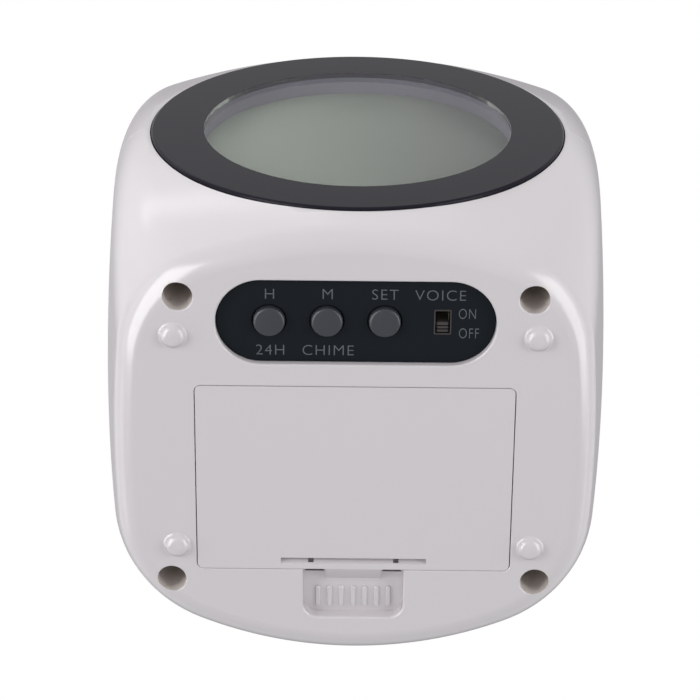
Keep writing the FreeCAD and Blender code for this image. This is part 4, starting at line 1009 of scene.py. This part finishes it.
def battery_door():
    def lid(grow):
        return rounded(DOOR[0] / 2 - 0.13 + grow, DOOR[1] / 2 - 0.08 + grow, 1.0 + grow, 0, DOOR_Y)
    top = FOOT + 1.8
    rings = [level(lid(-0.15), FOOT), level(lid(-0.04), FOOT + 0.04), level(lid(0), FOOT + 0.15),
             level(lid(0), top)]
    door = banded("battery_door_lid", rings)
    rear = DOOR_REAR - 0.2
    solids = []
    for side in (1, -1):
        front, left, right = DOOR_FRONT + 1.7, side * TAB_X - 3, side * TAB_X + 3
        solids.append(brick((left, front, top - 0.2), (right, front + 1, FLOOR + 1.2)))
        solids.append(brick((left, DOOR_FRONT - 1.8, FLOOR + 0.2), (right, front + 1, FLOOR + 1.2)))
    tip, floor_level = DOOR_REAR + 3.4, FOOT + RECESS_DEPTH - 0.04
    slope = [(rear - 0.3, FOOT + 0.03), (rear + 0.1, FOOT + 0.08), (rear + 0.5, FOOT + 0.3),
             (tip - 0.6, floor_level - 0.1), (tip, floor_level), (rear - 0.3, floor_level)]
    half = TONGUE_WIDTH / 2
    solids.append(banded("tongue", [[(x, y, z) for y, z in slope] for x in (-half, half)]))
    boolean(door, "UNION", solids)
    slit_rear = rear - BEAM
    slit_front = slit_rear - SLIT[1]
    rings = []
    for z, back in ((FOOT - 1, slit_rear + 0.1), (FOOT, slit_rear + 0.1), (FOOT + 0.1, slit_rear),
                    (top + 0.3, slit_front + 0.2)):
        middle, half = (slit_front + back) / 2, (back - slit_front) / 2
        rings.append(level(rounded(SLIT[0] / 2, half, 0.09, 0, middle, 4), z))
    cuts = [banded("slit", rings)]
    for side in (1, -1):
        left, right = side * DOT_X - DOT_HALF, side * DOT_X + DOT_HALF
        cuts.append(brick((left, slit_front, FOOT - 1), (right, slit_front + 0.7, 6)))
        cuts.append(brick((left, slit_front, FOOT + 0.3), (right, slit_front + 1.9, 6)))
    boolean(door, "DIFFERENCE", cuts)
    return smooth(door)


finish(battery_door(), CASE, "battery_door_body", "case_plastic", "battery_door")


# %% [markdown]
# ## Things that repeat
# Feet, screws and the grip bars in the finger recess are each one shape, set down on points.
# The tree instances a shape on the points of a mesh, then makes the copies real.

# %% Repeating tree
def repeating_tree():
    tree, source, sink = geometry_tree("repeated_piece", "Piece", "Object")
    shape = add(tree, "GeometryNodeObjectInfo", Object=source.outputs["Piece"])
    copies = add(tree, "GeometryNodeInstanceOnPoints", Points=source.outputs["Geometry"],
                 Instance=shape.outputs["Geometry"])
    end_in_material(tree, copies.outputs["Instances"], source, sink)
    return tree


REPEATING = repeating_tree()
print("repeating tree:", len(REPEATING.nodes), "nodes")


def repeated(name, shape, points, material):
    obj = new_object(name, points, [])
    modifier = obj.modifiers.new("copies", "NODES")
    modifier.node_group = REPEATING
    set_input(modifier, "Piece", shape)
    set_input(modifier, "Material", material)
    bake(obj)
    bpy.data.objects.remove(shape)
    return obj


# %% [markdown]
# ### What is repeated
# A foot is a dome with a small flare where it meets the base. The screws stand at the bottom of
# the wells, and the grip bars on the floor of the finger recess.

# %% Feet, screws and grip bars
FLARE_RADIUS = FOOT_RADIUS + 0.25
dome = [(0, 0), (0.9, 0.0), (1.2, 0.05), (1.48, 0.17), (1.74, 0.36), (1.94, 0.62), (2.07, 0.9)]
foot = turned("foot", dome + [(FOOT_RADIUS, FOOT - 0.05), (FLARE_RADIUS, FOOT + 0.01),
                              (FLARE_RADIUS, FOOT + 0.3), (0, FOOT + 0.3)], CASE, 48, angle=60)
feet = repeated("feet", foot, [(x, y, 0) for x, y in both(FEET)], CASE)
finish(feet, None, "case", "case_plastic")


def screw():
    """Pan head screw with a cross recess and a coarse thread."""
    profile = [(0, -1.6), (1.5, -1.6, 0.2), (2.2, -1.1, 0.3), (2.2, 0), (1.0, 0)]
    for i in range(9):
        profile += [(1.0, 0.6 + i), (1.28, 1.0 + i), (1.0, 1.4 + i)]
    obj = turned("screw", profile + [(0, 10.0)], STEEL, 40)
    slots = [brick((-1.25, -0.28, -2), (1.25, 0.28, -0.7)), brick((-0.28, -1.25, -2), (0.28, 1.25, -0.7))]
    boolean(obj, "DIFFERENCE", slots)
    return smooth(obj)


seats = [(x, y, TOWER_TOP - TOWER_WEB) for x, y in both(TOWERS)]
screws = repeated("case_screw_set", screw(), seats, STEEL)
finish(screws, None, "case", "plated_steel", "case_screws")


def grip_bar():
    """A low bar with a rounded crest, drawn level by level from the crest down."""
    levels = ((0.25, 1.8, -0.35), (0.38, 1.93, -0.28), (0.45, 2.0, -0.1), (0.45, 2.0, 0.05))
    return smooth(banded("grip_bar", [level(rounded(x, y, x, steps=6), z) for x, y, z in levels]))


BAR_Y = 24.9
bars = [(2 * i - 6, BAR_Y, FOOT + RECESS_DEPTH) for i in range(7)]
grips = repeated("recess_grips", grip_bar(), bars, CASE)
finish(grips, None, "case", "case_plastic")


# %% [markdown]
# ## The talk button
# The top of the clock is one large turned button, slightly crowned, that a hand finds in the
# dark. Its skirt dives into the case and ends in four catches under the roof.

# %% Talk button
SKIRT = 81.5  # the lower end of its skirt, where four catches stand out


def talk_button():
    low, high = [[c / MM for c in corner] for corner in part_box("talk_button")]
    crown, wall = high[2], 1.5
    profile = [(0, crown)]
    for i in range(1, 9):
        radius = (TALK_RADIUS - 2.2) * i / 8
        profile.append((radius, crown - 0.35 * (i / 8) ** 2))
    profile += [(TALK_RADIUS, crown - 1.0, 0.7), (TALK_RADIUS, SKIRT), (TALK_RADIUS - wall, SKIRT),
                (TALK_RADIUS - wall, crown - 2.5), (0, crown - 2.5)]
    obj = turned("talk_button_cap", profile, TALK_GREY, 192)
    inside, reach = TALK_RADIUS - wall / 2, TALK_RADIUS + 1.2
    solids = [brick((-2.9, -2.9, low[2]), (2.9, 2.9, crown - 2.3))]
    for side in (1, -1):
        solids.append(brick((side * inside, -4, SKIRT), (side * reach, 4, SKIRT + 1.4)))
        solids.append(brick((-4, side * inside, SKIRT), (4, side * reach, SKIRT + 1.4)))
    boolean(obj, "UNION", solids)
    return smooth(obj)


finish(talk_button(), TALK_GREY, "talk_button_body", "talk_plastic", "talk_button")


# %% [markdown]
# ## Inner pieces
# What the case hides keeps its CAD mesh and gets its own finish, by the material slot that the
# record names for it.

# %% Finishes of the inner pieces
FINISHES = {
    "case_plastic": CASE, "ring_plastic": RING, "clear_window": CLEAR, "grey_plastic": SHROUD_GREY,
    "display_glass": DISPLAY, "guide_plastic": GUIDE, "white_plastic": INNER_WHITE,
    "contact_rubber": RUBBER, "board_laminate": LAMINATE, "black_resin": RESIN,
    "plated_steel": STEEL, "bright_metal": NICKEL, "panel_plastic": PANEL_DARK,
    "button_plastic": BUTTON_GREY, "talk_plastic": TALK_GREY, "cell_jacket": JACKET,
    "speaker_film": MYLAR, "magnet_iron": FERRITE, "ribbon_film": RIBBON}
kept = {part["node"]: part["material_slot"] for part in frame["record"]["subparts"]}
for node, obj in frame["nodes"].items():
    obj.data.materials.clear()
    obj.data.materials.append(FINISHES[kept[node]])
print(len(kept), "CAD nodes have a finish")


# %% [markdown]
# ## Studio
# The clock stands on a pale floor. The photograph looks at it from below, so the floor lets
# light and sight pass through its underside, and keeps the shadow on its upper side. The room
# is white wherever the camera or a reflection looks, and gives a softer light elsewhere.

# %% Floor and room
def floor_material():
    material, tree, shader = principled("floor_paper")
    feed(tree, shader, Base_Color=(0.86, 0.86, 0.86, 1), Roughness=0.7)
    side = tree.nodes.new("ShaderNodeNewGeometry")
    open_way = tree.nodes.new("ShaderNodeBsdfTransparent")
    mix_shaders(tree, side.outputs["Backfacing"], shader.outputs[0], open_way.outputs[0])
    return material


REACH = 900
floor = new_object("floor", level([(-REACH, -REACH), (REACH, -REACH), (REACH, REACH), (-REACH, REACH)], 0),
                   [(0, 1, 2, 3)])
floor.data.materials.append(floor_material())
for kind in ("shadow", "diffuse", "glossy", "transmission"):
    setattr(floor, "visible_" + kind, False)

world = bpy.data.worlds.new("studio")
bpy.context.scene.world = world
world.use_nodes = True
tree = world.node_tree
seen = feed(tree, tree.nodes["Background"], Color=(1, 1, 1, 1), Strength=1.0)
light = add(tree, "ShaderNodeBackground", Color=(0.98, 0.99, 1.0, 1), Strength=0.57)
paths = tree.nodes.new("ShaderNodeLightPath")
looked_at = paths.outputs["Is Camera Ray"]
for kind in ("Is Glossy Ray", "Is Transmission Ray"):
    looked_at = calculate(tree, "MAXIMUM", looked_at, paths.outputs[kind])
mix_shaders(tree, looked_at, light.outputs[0], seen.outputs[0], "World Output")
print("the room gives", light.inputs["Strength"].default_value, "of the light that the camera sees")


# %% [markdown]
# ### Lamps
# The large front lamp lights the slope under the ring. The lamps at the sides and corners light
# the side walls from below. Two more are only seen in reflections: they draw the wide highlights
# on the rounded edge of the base.

# %% Lamps
def soft_lamp(name, place, aim, width, height, power, lights=True, shines=True):
    """An area lamp. Without shines it is left out of reflections, without lights it is only there."""
    lamp = bpy.data.lights.new(name, "AREA")
    lamp.shape = "RECTANGLE"
    lamp.size, lamp.size_y = width, height
    lamp.energy = power
    obj = placed(name, lamp)
    obj.location = place
    obj.rotation_euler = (Vector(aim) - Vector(place)).to_track_quat("-Z", "Y").to_euler()
    obj.visible_diffuse = lights
    obj.visible_glossy = shines
    print(name, "is", width, "by", height, "m")


soft_lamp("front_lamp", (-0.40, -0.75, 0.35), (0, -0.04, 0.04), 1.6, 0.9, 2.0)
soft_lamp("line_lamp", (-0.36, -0.60, 0.46), (0, -0.04, 0.01), 0.7, 0.08, 0.5)
soft_lamp("left_lamp", (-0.60, -0.02, -0.12), (0, -0.02, 0.03), 1.0, 0.10, 0.65)
soft_lamp("right_lamp", (0.60, -0.02, -0.12), (0, -0.02, 0.03), 1.0, 0.10, 0.5)
soft_lamp("left_corner_lamp", (-0.52, -0.24, -0.28), (0, 0, 0.03), 0.34, 0.18, 1.3, shines=False)
soft_lamp("right_corner_lamp", (0.52, -0.24, -0.28), (0, 0, 0.03), 0.34, 0.18, 1.1, shines=False)
soft_lamp("left_shine_lamp", (-0.44, -0.08, -0.40), (0, 0, 0.01), 0.62, 0.36, 5.0, lights=False)
soft_lamp("right_shine_lamp", (0.49, -0.04, -0.31), (0, 0, 0.01), 0.58, 0.30, 2.9, lights=False)
soft_lamp("top_lamp", (0.0, 0.35, 0.9), (0, 0, 0.04), 0.6, 0.6, 1.2)


# %% [markdown]
# ### Camera
# The camera looks up at the base and the display from in front and below, with a long lens.
# Pitch is measured from straight up.

# %% Camera
CAMERA = (-0.381, -216.780, -393.439)
FRAME_PIXELS = 700
LENS_PIXELS = 2700
SENSOR = 36


def photo_camera():
    pitch, yaw, roll = 0.456614, -0.001192, 0.010258
    ahead = Vector((0, math.sin(pitch), math.cos(pitch)))
    up = Vector((0, -math.cos(pitch), math.sin(pitch)))
    side = Vector((1, 0, 0))
    view = ahead * math.cos(yaw) + side * math.sin(yaw)
    right = side * math.cos(yaw) - ahead * math.sin(yaw)
    turned_right = right * math.cos(roll) + up * math.sin(roll)
    turned_up = up * math.cos(roll) - right * math.sin(roll)
    data = bpy.data.cameras.new("camera")
    data.sensor_width = SENSOR
    data.lens = SENSOR * LENS_PIXELS / FRAME_PIXELS
    data.clip_start = 0.01
    obj = placed("camera", data)
    place = Matrix((turned_right, turned_up, -view)).transposed().to_4x4()
    place.translation = Vector(CAMERA) * MM
    obj.matrix_world = place
    bpy.context.scene.camera = obj


photo_camera()
bpy.context.scene.view_settings.view_transform = "Standard"
print("lens:", round(bpy.context.scene.camera.data.lens, 1), "mm")
